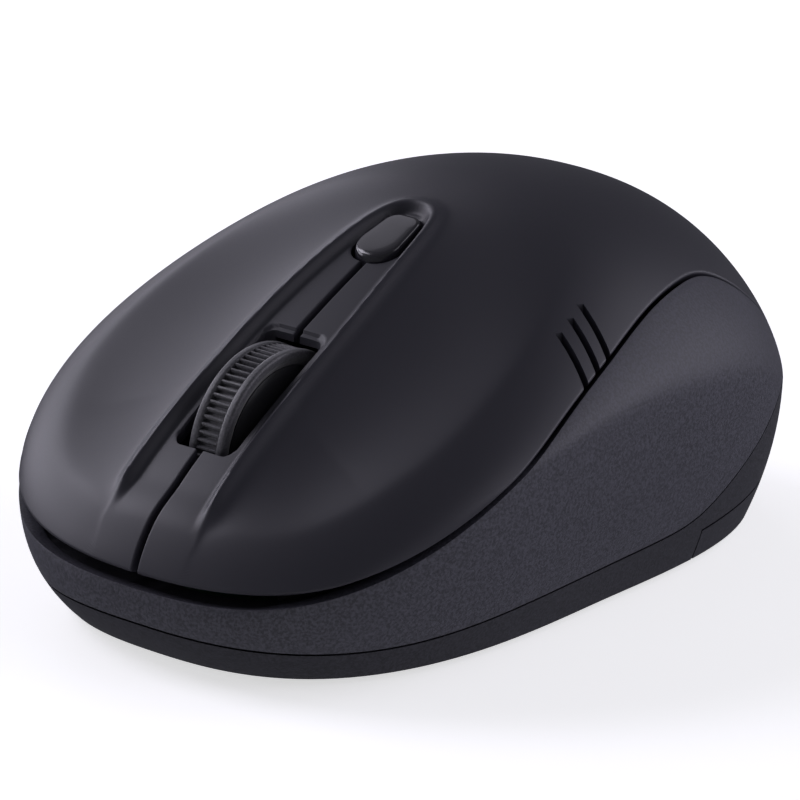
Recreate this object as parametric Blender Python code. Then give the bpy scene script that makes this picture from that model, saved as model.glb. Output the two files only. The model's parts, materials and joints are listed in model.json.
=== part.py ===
"""A compact cordless computer mouse, +Z up, nose towards -Y, left button on the +X side.

The origin is on the desk under the middle of the body. Lengths in this file are millimetres;
MM turns them into the scene's metres where a mesh is made.
"""

import math

import bmesh
import bpy
import numpy as np
from mathutils import Matrix, Vector

MM = 0.001

# Body: plan outline, arched sections and centre line
HALF_LENGTH = 46.0
HALF_WIDTH = 31.7
PLAN_POWER = 2.76
ARCH_SIDE_POWER = 2.17
ARCH_TOP_POWER = 1.53
CROWN_ANGLES = (0, 15, 32, 52, 74, 96, 118, 140, 160, 180)
CROWN_HEIGHTS = (8.0, 13.4, 19.4, 26.4, 34.6, 40.6, 40.3, 34.5, 24.4, 12.1)
BELT_NOSE, BELT_SIDE, BELT_TAIL = 8.0, 24.8, 12.1
TUCK_NOSE, TUCK_SIDE, TUCK_TAIL = 4.0, 5.8, 0.7
UNDERSIDE = 0.8
WALL = 1.8
FLOOR_THICK = 2.0
ROUND_STEPS = 48
UPPER_RINGS = 11
LOWER_RINGS = 3

# Seams in side view, (y, z)
COVER_EDGE = ((-46, 10.6), (-41, 12.2), (-34, 14.9), (-25, 19.2), (-13, 25.7), (-2, 30.0),
              (7, 32.5), (15, 33.3), (21, 32.6), (27, 29.7), (33, 25.1), (39, 20.0), (46, 16.8))
BASE_EDGE = ((-46, 5.0), (-31, 4.4), (-12, 5.5), (9, 6.2), (15.5, 7.2), (20, 9.4),
             (27, 13.4), (33, 16.9), (39, 19.6), (46, 21.0))
GAP = 0.3
NOSE_GAP = 1.45
GAP_GROWS_FROM = -8.0

# Buttons
HINGE_Y, HINGE_Z = 3.15, 36.0
SLIT = 0.8
SLOT_HALF_WIDTH, SLOT_FRONT, SLOT_REAR, SLOT_CORNER = 3.9, -35.2, -19.6, 1.2

# Wheel
WHEEL_Y, WHEEL_Z = -23.9, 19.15
WHEEL_RADIUS, TYRE_INNER, TYRE_HALF_WIDTH = 10.7, 9.0, 2.35
AXLE_RADIUS = 1.1
FORK_PIVOT_Y, FORK_PIVOT_Z = -11.0, 12.0
FORK_INSIDE, FORK_OUTSIDE = 4.0, 5.4

# Centre button
DPI_FRONT, DPI_REAR = -8.3, -0.8
DPI_TILT = math.radians(17)

# Battery bay and door
DOOR_FRONT = 17.5
DOOR_SIDE = ((18.6, -2.0), (17.5, 4.6), (46.0, 6.4))
TONGUE_FRONT, TONGUE_HALF_WIDTH = -8.6, 12.6
DECK_LOW, DECK_THICK, DECK_FRONT = 7.3, 1.2, 19.6
CELL_RADIUS, CELL_LENGTH, CELL_X, CELL_Z = 5.25, 43.7, 5.6, 8.5
NUB_RADIUS, NUB_LENGTH = 1.9, 0.8

# Circuit board and what stands on it
BOARD_LOW, BOARD_TOP = 5.0, 6.2
SENSOR_Y = -14.5
SNAP_X, SNAP_FRONT, SNAP_REAR = 14.5, -36.5, -23.7
SWITCH_X, SWITCH_Y = -19.0, -15.0
FRONT_SCREW = (20.5, -27.0)
SINK_RADIUS = 2.4
REAR_SCREW = (16.8, 26.0)
TRAY_SCREW = (15.4, 2.0)
BOARD_SCREW = (20.5, -18.0)


THIN_WALLED = (
    "left_button", "right_button", "palm_cover", "side_skirt", "base_shell", "base_deck", "battery_door",
)


# ---------------------------------------------------------------- helpers


def material(name, colour, roughness, metallic=0.0, alpha=1.0):
    """The named Principled material, made once."""
    made = bpy.data.materials.get(name)
    if made:
        return made
    made = bpy.data.materials.new(name)
    made.use_nodes = True
    shader = made.node_tree.nodes["Principled BSDF"]
    shader.inputs["Base Color"].default_value = (*colour, 1.0)
    shader.inputs["Roughness"].default_value = roughness
    shader.inputs["Metallic"].default_value = metallic
    shader.inputs["Alpha"].default_value = alpha
    made.diffuse_color = (*colour, alpha)
    return made


def finish(name, mesh, origin=(0, 0, 0), sharp=35):
    """Turns a bmesh in millimetres into an object with its origin at a point in millimetres."""
    bmesh.ops.recalc_face_normals(mesh, faces=mesh.faces)
    bmesh.ops.translate(mesh, verts=mesh.verts, vec=-Vector(origin))
    bmesh.ops.scale(mesh, verts=mesh.verts, vec=(MM, MM, MM))
    data = bpy.data.meshes.new(name)
    mesh.to_mesh(data)
    mesh.free()
    data.shade_smooth()
    data.set_sharp_from_angle(angle=math.radians(sharp))
    thing = bpy.data.objects.new(name, data)
    thing.location = Vector(origin) * MM
    bpy.context.scene.collection.objects.link(thing)
    return thing


def helper(thing):
    """Marks an object as a cutter or a filler, which isn't a piece."""
    thing.hide_render = True
    thing.display_type = "WIRE"
    return thing


def combine(thing, other, operation):
    """Adds a Boolean with a helper object, which stays in the scene as a wire."""
    step = thing.modifiers.new(other.name, "BOOLEAN")
    step.operation = operation
    step.object = helper(other)
    # A thin curved wall stays closed only with the MANIFOLD solver; every other piece uses EXACT.
    step.solver = "MANIFOLD" if thing.name in THIN_WALLED else "EXACT"


def smooth_curve(knots, values):
    """A cubic of continuous curvature through the knots, as a function of the position."""
    x, y = np.array(knots, float), np.array(values, float)
    step = np.diff(x)
    rows = np.zeros((len(x), len(x)))
    right = np.zeros(len(x))
    rows[0, :2] = rows[-1, -2:] = 1, -1
    for i in range(1, len(x) - 1):
        rows[i, i - 1 : i + 2] = step[i - 1], 2 * (step[i - 1] + step[i]), step[i]
        right[i] = 6 * ((y[i + 1] - y[i]) / step[i] - (y[i] - y[i - 1]) / step[i - 1])
    bend = np.linalg.solve(rows, right)

    def value(at):
        at = np.clip(at, x[0], x[-1])
        i = np.clip(np.searchsorted(x, at) - 1, 0, len(x) - 2)
        before = (x[i + 1] - at) / step[i]
        after = 1 - before
        curve = (before**3 - before) * bend[i] + (after**3 - after) * bend[i + 1]
        return before * y[i] + after * y[i + 1] + curve * step[i] ** 2 / 6

    return value


def rounded(corners, radii, steps=5):
    """An outline whose corners are arcs: one radius for all of them, or one for each."""
    if not isinstance(radii, (tuple, list)):
        radii = [radii] * len(corners)
    outline = []
    for i, (corner, radius) in enumerate(zip(corners, radii)):
        here = Vector(corner)
        back = (Vector(corners[i - 1]) - here).normalized()
        ahead = (Vector(corners[(i + 1) % len(corners)]) - here).normalized()
        half = back.angle(ahead) / 2
        middle = here + (back + ahead).normalized() * radius / math.sin(half)
        first = here + back * radius / math.tan(half) - middle
        last = here + ahead * radius / math.tan(half) - middle
        for k in range(steps + 1):
            outline.append(middle + first.slerp(last, k / steps).normalized() * radius)
    return [tuple(p) for p in outline]


def rectangle(low_x, low_y, high_x, high_y):
    return [(low_x, low_y), (high_x, low_y), (high_x, high_y), (low_x, high_y)]


def prism_mesh(outline, axis, low, high):
    """A bmesh prism: the outline's plane is the one across the axis, in X, Y, Z order."""
    mesh = bmesh.new()
    order = {"X": (2, 0, 1), "Y": (0, 2, 1), "Z": (0, 1, 2)}[axis]

    def corner(a, b, along):
        values = (a, b, along)
        return tuple(values[order[i]] for i in range(3))

    ends = [[mesh.verts.new(corner(a, b, along)) for a, b in outline] for along in (low, high)]
    count = len(outline)
    for i in range(count):
        j = (i + 1) % count
        mesh.faces.new((ends[0][i], ends[0][j], ends[1][j], ends[1][i]))
    mesh.faces.new(ends[0][::-1])
    mesh.faces.new(ends[1])
    return mesh


def prism(name, outline, axis, low, high, origin=(0, 0, 0)):
    return finish(name, prism_mesh(outline, axis, low, high), origin)


def box(name, low, high, origin=(0, 0, 0)):
    return prism(name, rectangle(low[0], low[1], high[0], high[1]), "Z", low[2], high[2], origin)


def turned(name, profile, centre, axis, steps=24, origin=None):
    """A solid of revolution. The profile's points are (distance from the axis, place along it)."""
    mesh = bmesh.new()
    closed_ring = all(radius > 0 for radius, _ in profile)
    rings = []
    for radius, along in profile:
        if radius > 0:
            angles = (2 * math.pi * k / steps for k in range(steps))
            circle = [(radius * math.cos(a), radius * math.sin(a), along) for a in angles]
            rings.append([mesh.verts.new(point) for point in circle])
        else:
            rings.append([mesh.verts.new((0, 0, along))] * steps)
    pairs = list(zip(rings, rings[1:])) + ([(rings[-1], rings[0])] if closed_ring else [])
    for one, two in pairs:
        for k in range(steps):
            n = (k + 1) % steps
            corners = [one[k], one[n], two[n], two[k]]
            unique = [v for i, v in enumerate(corners) if v not in corners[:i]]
            if len(unique) > 2:
                mesh.faces.new(unique)
    turn = Vector((0, 0, 1)).rotation_difference(Vector(axis)).to_matrix().to_4x4()
    bmesh.ops.transform(mesh, verts=mesh.verts, matrix=Matrix.Translation(centre) @ turn)
    return finish(name, mesh, centre if origin is None else origin)


def cylinder(name, centre, axis, radius, low, high, steps=16, origin=None):
    return turned(name, [(0, low), (radius, low), (radius, high), (0, high)], centre, axis, steps, origin)


def coil(name, start, axis, radius, wire, length, turns, sides=5):
    """A compression spring with a round wire, as one closed tube."""
    mesh = bmesh.new()
    steps = int(turns * 10)
    turn = Vector((0, 0, 1)).rotation_difference(Vector(axis)).to_matrix()
    rings = []
    for k in range(steps + 1):
        angle = 2 * math.pi * turns * k / steps
        out = Vector((math.cos(angle), math.sin(angle), 0))
        centre = out * radius + Vector((0, 0, wire + (length - 2 * wire) * k / steps))
        ring = []
        for s in range(sides):
            around = 2 * math.pi * s / sides
            point = centre + out * wire * math.cos(around) + Vector((0, 0, wire * math.sin(around)))
            ring.append(mesh.verts.new(Vector(start) + turn @ point))
        rings.append(ring)
    for one, two in zip(rings, rings[1:]):
        for s in range(sides):
            n = (s + 1) % sides
            mesh.faces.new((one[s], one[n], two[n], two[s]))
    mesh.faces.new(rings[0])
    mesh.faces.new(rings[-1])
    return finish(name, mesh, start)


# ---------------------------------------------------------------- body form

crown_at = smooth_curve(CROWN_ANGLES, CROWN_HEIGHTS)
cover_edge = smooth_curve(*zip(*COVER_EDGE))
base_edge = smooth_curve(*zip(*BASE_EDGE))


def along_ends(u, nose, side, tail):
    """Blends a value between nose, side and tail for u from -1 at the nose to 1 at the tail."""
    front, rear = np.maximum(0, -u) ** 2, np.maximum(0, u) ** 2
    return front * nose + rear * tail + (1 - front - rear) * side


def upper_height(u, across, lower):
    """Height of the arched top at u along the body and a share of the half width across it."""
    belt = along_ends(u, BELT_NOSE, BELT_SIDE, BELT_TAIL)
    crown = crown_at(np.degrees(np.arccos(np.clip(-u, -1, 1)))) - lower
    arch = (1 - min(across, 1.0) ** ARCH_SIDE_POWER) ** (1 / ARCH_TOP_POWER)
    return belt + (crown - belt) * arch


def form(name, inset):
    """The body's closed outer form, or one shrunk inwards by the inset."""
    mesh = bmesh.new()
    half_width, half_length = HALF_WIDTH - inset, HALF_LENGTH - inset
    floor = UNDERSIDE + (inset * FLOOR_THICK / WALL)
    outline = []
    for k in range(ROUND_STEPS):
        angle = 2 * math.pi * (k + 0.5) / ROUND_STEPS
        c, s = math.cos(angle), math.sin(angle)
        reach = (abs(c) ** PLAN_POWER + abs(s) ** PLAN_POWER) ** (-1 / PLAN_POWER)
        outline.append((reach * c, reach * s, s))
    rings = []
    for i in range(LOWER_RINGS, 0, -1):
        t = i / LOWER_RINGS
        ring = []
        for x, y, s in outline:
            tuck = along_ends(s, TUCK_NOSE, TUCK_SIDE, TUCK_TAIL) * t * t
            belt = along_ends(y, BELT_NOSE, BELT_SIDE, BELT_TAIL)
            place = ((half_width - tuck) * x, (half_length - tuck) * y, belt * (1 - t) + floor * t)
            ring.append(mesh.verts.new(place))
        rings.append(ring)
    for i in range(UPPER_RINGS):
        share = math.cos(math.pi / 2 * i / UPPER_RINGS)
        ring = []
        for x, y, _ in outline:
            u, v = share * y, share * abs(x)
            width = (1 - abs(u) ** PLAN_POWER) ** (1 / PLAN_POWER)
            high = upper_height(u, v / width if i else 1.0, inset)
            ring.append(mesh.verts.new((half_width * share * x, half_length * u, high)))
        rings.append(ring)
    for one, two in zip(rings, rings[1:]):
        for k in range(ROUND_STEPS):
            n = (k + 1) % ROUND_STEPS
            mesh.faces.new((one[k], one[n], two[n], two[k]))
    top = mesh.verts.new((0, 0, upper_height(0.0, 0.0, inset)))
    for k in range(ROUND_STEPS):
        mesh.faces.new((rings[-1][k], rings[-1][(k + 1) % ROUND_STEPS], top))
    mesh.faces.new(rings[0][::-1])
    return finish(name, mesh)


def gap_at(y):
    """The groove under the cover, which widens towards the nose to leave the buttons their travel."""
    forward = max(0.0, (GAP_GROWS_FROM - y) / (GAP_GROWS_FROM + HALF_LENGTH))
    return GAP + (NOSE_GAP - GAP) * forward**1.5


def skirt_top(y):
    return cover_edge(y) - gap_at(y)


def base_top(y):
    return min(base_edge(y), cover_edge(y) - GAP)


SKIRT_TIP = max(y for y in np.arange(30.0, 45.0, 0.1) if skirt_top(y) - base_edge(y) - GAP > 0.3)
STATIONS = sorted([-46.0 + 2.5 * k for k in range(38)] + [SKIRT_TIP])


def strip(lower, upper, first, last):
    """Side-view outline between two seam lines over a stretch of the body."""
    places = [first, *(y for y in STATIONS if first < y < last), last]
    return [(y, float(lower(y))) for y in places] + [(y, float(upper(y))) for y in reversed(places)]


def shell(name, outline, low_x, high_x):
    """A wall-thick piece of the body, cut from it by a side-view outline."""
    piece = form(name, 0.0)
    combine(piece, form(name + "_inside", WALL), "DIFFERENCE")
    combine(piece, prism(name + "_region", outline, "X", low_x, high_x), "INTERSECT")
    return piece


soft_touch = material("soft_touch", (0.042, 0.041, 0.049), 0.52)
side_plastic = material("side_plastic", (0.05, 0.05, 0.062), 0.62)
base_plastic = material("base_plastic", (0.022, 0.021, 0.027), 0.5)
gloss_black = material("gloss_black", (0.006, 0.006, 0.008), 0.12)
inner_plastic = material("inner_plastic", (0.02, 0.02, 0.022), 0.55)
white_plastic = material("white_plastic", (0.7, 0.7, 0.68), 0.45)
tyre_rubber = material("tyre_rubber", (0.03, 0.03, 0.034), 0.75)
foot_plastic = material("foot_plastic", (0.012, 0.012, 0.013), 0.35)
board_green = material("board_green", (0.01, 0.09, 0.03), 0.4)
chip_black = material("chip_black", (0.012, 0.012, 0.013), 0.45)
clear_lens = material("clear_lens", (0.9, 0.9, 0.92), 0.05, alpha=0.4)
red_lamp = material("red_lamp", (0.6, 0.02, 0.02), 0.1)
steel = material("steel", (0.55, 0.55, 0.56), 0.3, 1.0)
spring_steel = material("spring_steel", (0.6, 0.6, 0.62), 0.25, 1.0)
cell_jacket = material("cell_jacket", (0.03, 0.08, 0.25), 0.35)


def paint(thing, finish_material):
    thing.data.materials.append(finish_material)
    return thing


# ---------------------------------------------------------------- casing


def dpi_outline(grow):
    """The centre button's outline in plan: wide and round in front, narrower behind."""
    corners = [(-3.05 - grow, DPI_FRONT - grow), (3.05 + grow, DPI_FRONT - grow),
               (2.15 + grow, DPI_REAR + grow), (-2.15 - grow, DPI_REAR + grow)]
    return rounded(corners, (2.5, 2.5, 1.6, 1.6))


def wheel_slot_outline():
    corners = rectangle(-SLOT_HALF_WIDTH, SLOT_FRONT, SLOT_HALF_WIDTH, SLOT_REAR)
    return rounded(corners, SLOT_CORNER, 3)


def make_cover():
    """The top cover: two sprung button plates in front of the hinge line, the palm rest behind."""
    above = lambda y: 60.0
    for name, low_x, high_x, side in (
        ("left_button", SLIT / 2, 40.0, 1),
        ("right_button", -40.0, -SLIT / 2, -1),
    ):
        button = shell(name, strip(cover_edge, above, -60.0, HINGE_Y - GAP / 2), low_x, high_x)
        slot = prism(name + "_wheel_slot", wheel_slot_outline(), "Z", 5, 50)
        relief = (0, WHEEL_Y, WHEEL_Z), (1, 0, 0), WHEEL_RADIUS + 0.9
        combine(slot, cylinder(name + "_wheel_relief", *relief, -3.3, 3.3, 36), "UNION")
        combine(button, slot, "DIFFERENCE")
        combine(button, prism(name + "_dpi_hole", dpi_outline(0.35), "Z", 25, 50), "DIFFERENCE")
        low = (min(side * SNAP_X - 2.2, side * SNAP_X + 2.2), -33.6, 14.2)
        high = (max(side * SNAP_X - 2.2, side * SNAP_X + 2.2), -32.0, 20.9)
        combine(button, box(name + "_finger", low, high), "UNION")
        move_origin(button, (0, HINGE_Y, HINGE_Z))
        paint(button, soft_touch)
    palm = shell("palm_cover", strip(cover_edge, above, HINGE_Y + GAP / 2, 60.0), -40.0, 40.0)
    for side in (-1, 1):
        x, y = side * REAR_SCREW[0], REAR_SCREW[1]
        combine(palm, cylinder(f"palm_boss_{side + 1}", (x, y, 0), (0, 0, 1), 2.6, 9.0, 33.2, 12), "UNION")
        bore = cylinder(f"palm_bore_{side + 1}", (x, y, 0), (0, 0, 1), 1.3, 5.0, 16.0, 12)
        combine(palm, bore, "DIFFERENCE")
    paint(palm, soft_touch)


def move_origin(thing, origin):
    """Puts an object's origin at a point in millimetres, without moving its shape."""
    shift = Vector(origin) * MM - thing.location
    thing.data.transform(Matrix.Translation(-shift))
    thing.location += shift


def make_skirt():
    """The band round the nose with its two side panels, and the two front screw bosses."""
    lower = lambda y: base_edge(y) + GAP
    skirt = shell("side_skirt", strip(lower, skirt_top, -60.0, SKIRT_TIP), -40.0, 40.0)
    for side in (-1, 1):
        x, y = side * FRONT_SCREW[0], FRONT_SCREW[1]
        ear = rectangle(min(side * 20.5, side * 25.2), y - 0.9, max(side * 20.5, side * 25.2), y + 0.9)
        combine(skirt, prism(f"skirt_ear_{side + 1}", ear, "Z", 5.6, 9.5), "UNION")
        combine(skirt, cylinder(f"skirt_boss_{side + 1}", (x, y, 0), (0, 0, 1), 2.4, 5.5, 10.5, 16), "UNION")
        bore = cylinder(f"skirt_bore_{side + 1}", (x, y, 0), (0, 0, 1), 1.3, 4.0, 9.4, 12)
        combine(skirt, bore, "DIFFERENCE")
    paint(skirt, side_plastic)


def door_region(name, grow):
    """The battery door's space: the whole rear of the underside, with a tongue forward."""
    front = DOOR_FRONT - grow
    side_view = [(DOOR_SIDE[0][0] - grow, DOOR_SIDE[0][1]), (60.0, DOOR_SIDE[0][1]),
                 (60.0, DOOR_SIDE[2][1] + 0.9 + grow), (DOOR_SIDE[2][0], DOOR_SIDE[2][1] + grow),
                 (front, DOOR_SIDE[1][1] + grow)]
    region = prism(name, side_view, "X", -40.0, 40.0)
    width = TONGUE_HALF_WIDTH + grow
    tongue = rounded(rectangle(-width, TONGUE_FRONT - grow, width, DOOR_FRONT + 6), 2.0, 3)
    combine(region, prism(name + "_tongue", tongue, "Z", -2.0, 4.0), "UNION")
    return region


def make_base():
    """The underside tray: floor, low side wall, tail wall and the deck over the battery door."""
    below = lambda y: -3.0
    base = shell("base_shell", strip(below, base_top, -60.0, 60.0), -40.0, 40.0)
    combine(base, door_region("base_door_gap", GAP), "DIFFERENCE")
    deck = form("base_deck", WALL - 0.35)
    slab = rectangle(DECK_FRONT, DECK_LOW, 60.0, DECK_LOW + DECK_THICK)
    combine(deck, prism("base_deck_slab", slab, "X", -40.0, 40.0), "INTERSECT")
    bay = rectangle(-TONGUE_HALF_WIDTH - 0.2, 0.0, TONGUE_HALF_WIDTH + 0.2, 42.9)
    combine(deck, prism("base_bay", bay, "Z", 5.0, 12.0), "DIFFERENCE")
    for side in (-1, 1):
        x, y = side * REAR_SCREW[0], REAR_SCREW[1]
        hole = cylinder(f"deck_hole_{side + 1}", (x, y, 0), (0, 0, 1), 1.3, 5.0, 12.0, 12)
        combine(deck, hole, "DIFFERENCE")
    combine(base, deck, "UNION")
    for side in (-1, 1):
        x, y = side * FRONT_SCREW[0], FRONT_SCREW[1]
        sink = [(0, 0.0), (SINK_RADIUS, 0.0), (SINK_RADIUS, 2.0), (1.3, 2.0), (1.3, 6.0), (0, 6.0)]
        tower = [(0, 2.0), (3.6, 2.0), (3.6, 3.8), (0, 3.8)]
        combine(base, turned(f"base_seat_{side + 1}", tower, (x, y, 0), (0, 0, 1), 16), "UNION")
        combine(base, turned(f"base_sink_{side + 1}", sink, (x, y, 0), (0, 0, 1), 20), "DIFFERENCE")
        foot = front_foot_outline(side, 0.3)
        combine(base, prism(f"base_foot_seat_{side + 1}", foot, "Z", 0.0, 1.4), "DIFFERENCE")
        post = rectangle(min(side * 6.2, side * 8.4), -12.4, max(side * 6.2, side * 8.4), -9.7)
        combine(base, prism(f"base_post_{side + 1}", post, "Z", 2.0, 14.4), "UNION")
    pivot = (0, FORK_PIVOT_Y, FORK_PIVOT_Z)
    combine(base, cylinder("base_pivot_bore", pivot, (1, 0, 0), 1.1, -12, 12, 12), "DIFFERENCE")
    eye = [(0, 0.0), (5.5, 0.0), (3.6, 1.9), (3.6, 6.0), (0, 6.0)]
    combine(base, turned("base_sensor_eye", eye, (0, SENSOR_Y, 0), (0, 0, 1), 24), "DIFFERENCE")
    for name, along in (("pocket", 3.4), ("slit", 2.4)):
        wide = 1.9 if name == "pocket" else 0.8
        sides = rectangle(SWITCH_X - along, SWITCH_Y - wide, SWITCH_X + along, SWITCH_Y + wide)
        opening = rounded(sides, 0.7, 3)
        low, high = (0.0, 1.7) if name == "pocket" else (0.0, 5.0)
        combine(base, prism("base_switch_" + name, opening, "Z", low, high), "DIFFERENCE")
    x, y = BOARD_SCREW
    combine(base, cylinder("base_board_post", (x, y, 0), (0, 0, 1), 2.2, 2.0, 4.7, 16), "UNION")
    combine(base, cylinder("base_board_bore", (x, y, 0), (0, 0, 1), 1.2, 3.2, 6.0, 12), "DIFFERENCE")
    for side in (-1, 1):
        x, y = side * TRAY_SCREW[0], TRAY_SCREW[1]
        bore = cylinder(f"base_tray_bore_{side + 1}", (x, y, 0), (0, 0, 1), 1.1, 1.6, 6.0, 12)
        combine(base, bore, "DIFFERENCE")
    paint(base, base_plastic)


def front_foot_outline(side, grow):
    low, high = sorted((side * 3.0 - side * grow, side * 15.0 + side * grow))
    return rounded(rectangle(low, -36.4 - grow, high, -32.4 + grow), 1.9 + grow, 4)


def make_door():
    """The battery door, cut from the same walls as the base, with its own glide foot seat."""
    door = form("battery_door", 0.0)
    combine(door, form("battery_door_inside", WALL), "DIFFERENCE")
    combine(door, door_region("battery_door_region", 0.0), "INTERSECT")
    combine(door, prism("door_foot_seat", rear_foot_outline(0.3), "Z", 0.0, 1.4), "DIFFERENCE")
    for k in range(3):
        y = 12.0 + 2.2 * k
        grip = rounded(rectangle(-7.0, y, 7.0, y + 0.9), 0.4, 2)
        combine(door, prism(f"door_grip_{k}", grip, "Z", 0.0, 1.3), "DIFFERENCE")
    paint(door, base_plastic)


def rear_foot_outline(grow):
    return rounded(rectangle(-12.0 - grow, 35.0 - grow, 12.0 + grow, 39.4 + grow), 2.1 + grow, 4)


def make_feet():
    for name, outline in (
        ("left_front_foot", front_foot_outline(1, 0.0)),
        ("right_front_foot", front_foot_outline(-1, 0.0)),
        ("rear_foot", rear_foot_outline(0.0)),
    ):
        paint(prism(name, outline, "Z", 0.0, 1.1), foot_plastic)


# ---------------------------------------------------------------- wheel


def make_wheel():
    centre = (0, WHEEL_Y, WHEEL_Z)
    round_off = 0.6
    tyre = [(TYRE_INNER, -TYRE_HALF_WIDTH), (WHEEL_RADIUS - round_off, -TYRE_HALF_WIDTH),
            (WHEEL_RADIUS - 0.15, -TYRE_HALF_WIDTH + 0.2), (WHEEL_RADIUS, -TYRE_HALF_WIDTH + round_off),
            (WHEEL_RADIUS, TYRE_HALF_WIDTH - round_off), (WHEEL_RADIUS - 0.15, TYRE_HALF_WIDTH - 0.2),
            (WHEEL_RADIUS - round_off, TYRE_HALF_WIDTH), (TYRE_INNER, TYRE_HALF_WIDTH)]
    paint(turned("wheel_tyre", tyre, centre, (1, 0, 0), 36), tyre_rubber)
    rim, web, core = TYRE_INNER - GAP, 0.6, 2.6
    hub = [(AXLE_RADIUS + GAP, -2.4), (core, -2.4), (core, -web), (rim - 1.2, -web), (rim - 1.2, -2.1),
           (rim, -2.1), (rim, 2.1), (rim - 1.2, 2.1), (rim - 1.2, web), (core, web), (core, 2.4),
           (AXLE_RADIUS + GAP, 2.4)]
    hub = turned("wheel_hub", hub, centre, (1, 0, 0), 28)
    for k in range(8):
        angle = 2 * math.pi * k / 8
        place = (0, WHEEL_Y + 5.1 * math.cos(angle), WHEEL_Z + 5.1 * math.sin(angle))
        combine(hub, cylinder(f"hub_window_{k}", place, (1, 0, 0), 1.3, -2, 2, 8), "DIFFERENCE")
    paint(hub, inner_plastic)
    paint(cylinder("wheel_axle", centre, (1, 0, 0), AXLE_RADIUS, -6.4, 6.4, 20), steel)


def make_fork():
    """The fork that carries the axle, tips about its rear pivot and bears on switch and spring."""
    arm = [(-9.3, 10.4), (-9.3, 13.6), (-12.2, 15.6), (-21.6, 22.0), (-26.2, 22.0), (-27.6, 20.0),
           (-27.6, 11.9), (-24.2, 11.9), (-24.2, 16.0), (-14.2, 12.6), (-12.6, 10.4)]
    fork = prism("wheel_carrier", arm, "X", -FORK_OUTSIDE, FORK_OUTSIDE)
    gap_between = rectangle(-60.0, 0.0, -12.4, 40.0)
    combine(fork, prism("fork_gap", gap_between, "X", -FORK_INSIDE, FORK_INSIDE), "DIFFERENCE")
    for side in (-1, 1):
        tab = rectangle(min(side * 5.0, side * 10.4), -27.6, max(side * 5.0, side * 10.4), -24.2)
        combine(fork, prism(f"fork_tab_{side + 1}", tab, "Z", 11.7, 13.0), "UNION")
    pivot = (0, FORK_PIVOT_Y, FORK_PIVOT_Z)
    combine(fork, cylinder("fork_pin", pivot, (1, 0, 0), 0.8, -8.0, 8.0, 12), "UNION")
    bearing = cylinder("fork_bearing", (0, WHEEL_Y, WHEEL_Z), (1, 0, 0), AXLE_RADIUS + GAP, -9, 9, 20)
    combine(fork, bearing, "DIFFERENCE")
    move_origin(fork, pivot)
    paint(fork, white_plastic)
    paint(coil("carrier_spring", (7.8, -25.9, BOARD_TOP + GAP), (0, 0, 1), 1.5, 0.2, 4.9, 4), spring_steel)


def make_wheel_reader():
    for name, x in (("wheel_ir_emitter", 6.9), ("wheel_ir_detector", -6.9)):
        body = box(name, (x - 1.0, -22.2, BOARD_TOP + GAP), (x + 1.0, -18.6, 13.4))
        paint(body, chip_black)


# ---------------------------------------------------------------- centre button


def make_dpi():
    """The centre button, its switch and the small board they stand on."""
    button = prism("dpi_button", dpi_outline(0.0), "Z", 30.0, 48.0)
    combine(button, form("dpi_top", 0.0), "INTERSECT")
    combine(button, form("dpi_under", 1.5), "DIFFERENCE")
    middle_y = (DPI_FRONT + DPI_REAR) / 2
    inward = Vector((0, math.sin(DPI_TILT), -math.cos(DPI_TILT)))
    combine(button, cylinder("dpi_stem", (0, middle_y, 37.0), inward, 1.1, 0.0, 3.1, 12), "UNION")
    move_origin(button, (0, middle_y, 37.0))
    paint(button, gloss_black)
    stem_end = Vector((0, middle_y, 37.0)) + inward * 3.4
    plunger = cylinder("dpi_switch_plunger", stem_end, inward, 1.0, 0.0, 1.6, 16)
    paint(plunger, white_plastic)
    switch_top = stem_end + inward * 1.2
    tilt = Matrix.Rotation(DPI_TILT, 4, "X")
    for name, low, high, look in (
        ("dpi_switch", (-2.6, -2.6, -2.0), (2.6, 2.6, 0.0), chip_black),
        ("dpi_board", (-5.0, -5.5, -3.3), (5.0, 5.5, -2.3), board_green),
    ):
        piece = box(name, low, high)
        piece.data.transform(Matrix.Translation(switch_top * MM) @ tilt)
        if name == "dpi_switch":
            well = cylinder("dpi_switch_well", stem_end, inward, 1.2, 0.0, 2.3, 16)
            combine(piece, well, "DIFFERENCE")
        paint(piece, look)
    slab_top = switch_top + inward * 3.6
    post = prism("dpi_bracket", rectangle(-4.2, -6.6, 4.2, -1.4), "Z", 15.4, 40.0)
    cutter = box("bracket_top", (-9, -9, 0.0), (9, 9, 14))
    cutter.data.transform(Matrix.Translation(slab_top * MM) @ tilt)
    combine(post, cutter, "DIFFERENCE")
    combine(post, box("bracket_window", (-2.9, -5.2, 17.0), (2.9, -1.0, 26.0)), "DIFFERENCE")
    paint(post, inner_plastic)


# ---------------------------------------------------------------- electronics


def make_board():
    right_half = [(12.0, -39.4), (17.4, -36.0), (17.4, -23.2), (23.0, -21.8), (23.0, -9.9)]
    outline = right_half + [(-x, y) for x, y in reversed(right_half)]
    board = prism("main_board", outline, "Z", BOARD_LOW, BOARD_TOP)
    for side in (-1, 1):
        notch = rectangle(min(side * 5.8, side * 8.8), -12.8, max(side * 5.8, side * 8.8), -5.0)
        combine(board, prism(f"board_notch_{side + 1}", notch, "Z", 3.0, 9.0), "DIFFERENCE")
    hole = rectangle(-2.4, SENSOR_Y - 2.4, 2.4, SENSOR_Y + 2.4)
    combine(board, prism("board_eye", hole, "Z", 3.0, 9.0), "DIFFERENCE")
    x, y = BOARD_SCREW
    combine(board, cylinder("board_screw_hole", (x, y, 0), (0, 0, 1), 1.3, 3, 9, 12), "DIFFERENCE")
    paint(board, board_green)


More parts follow.
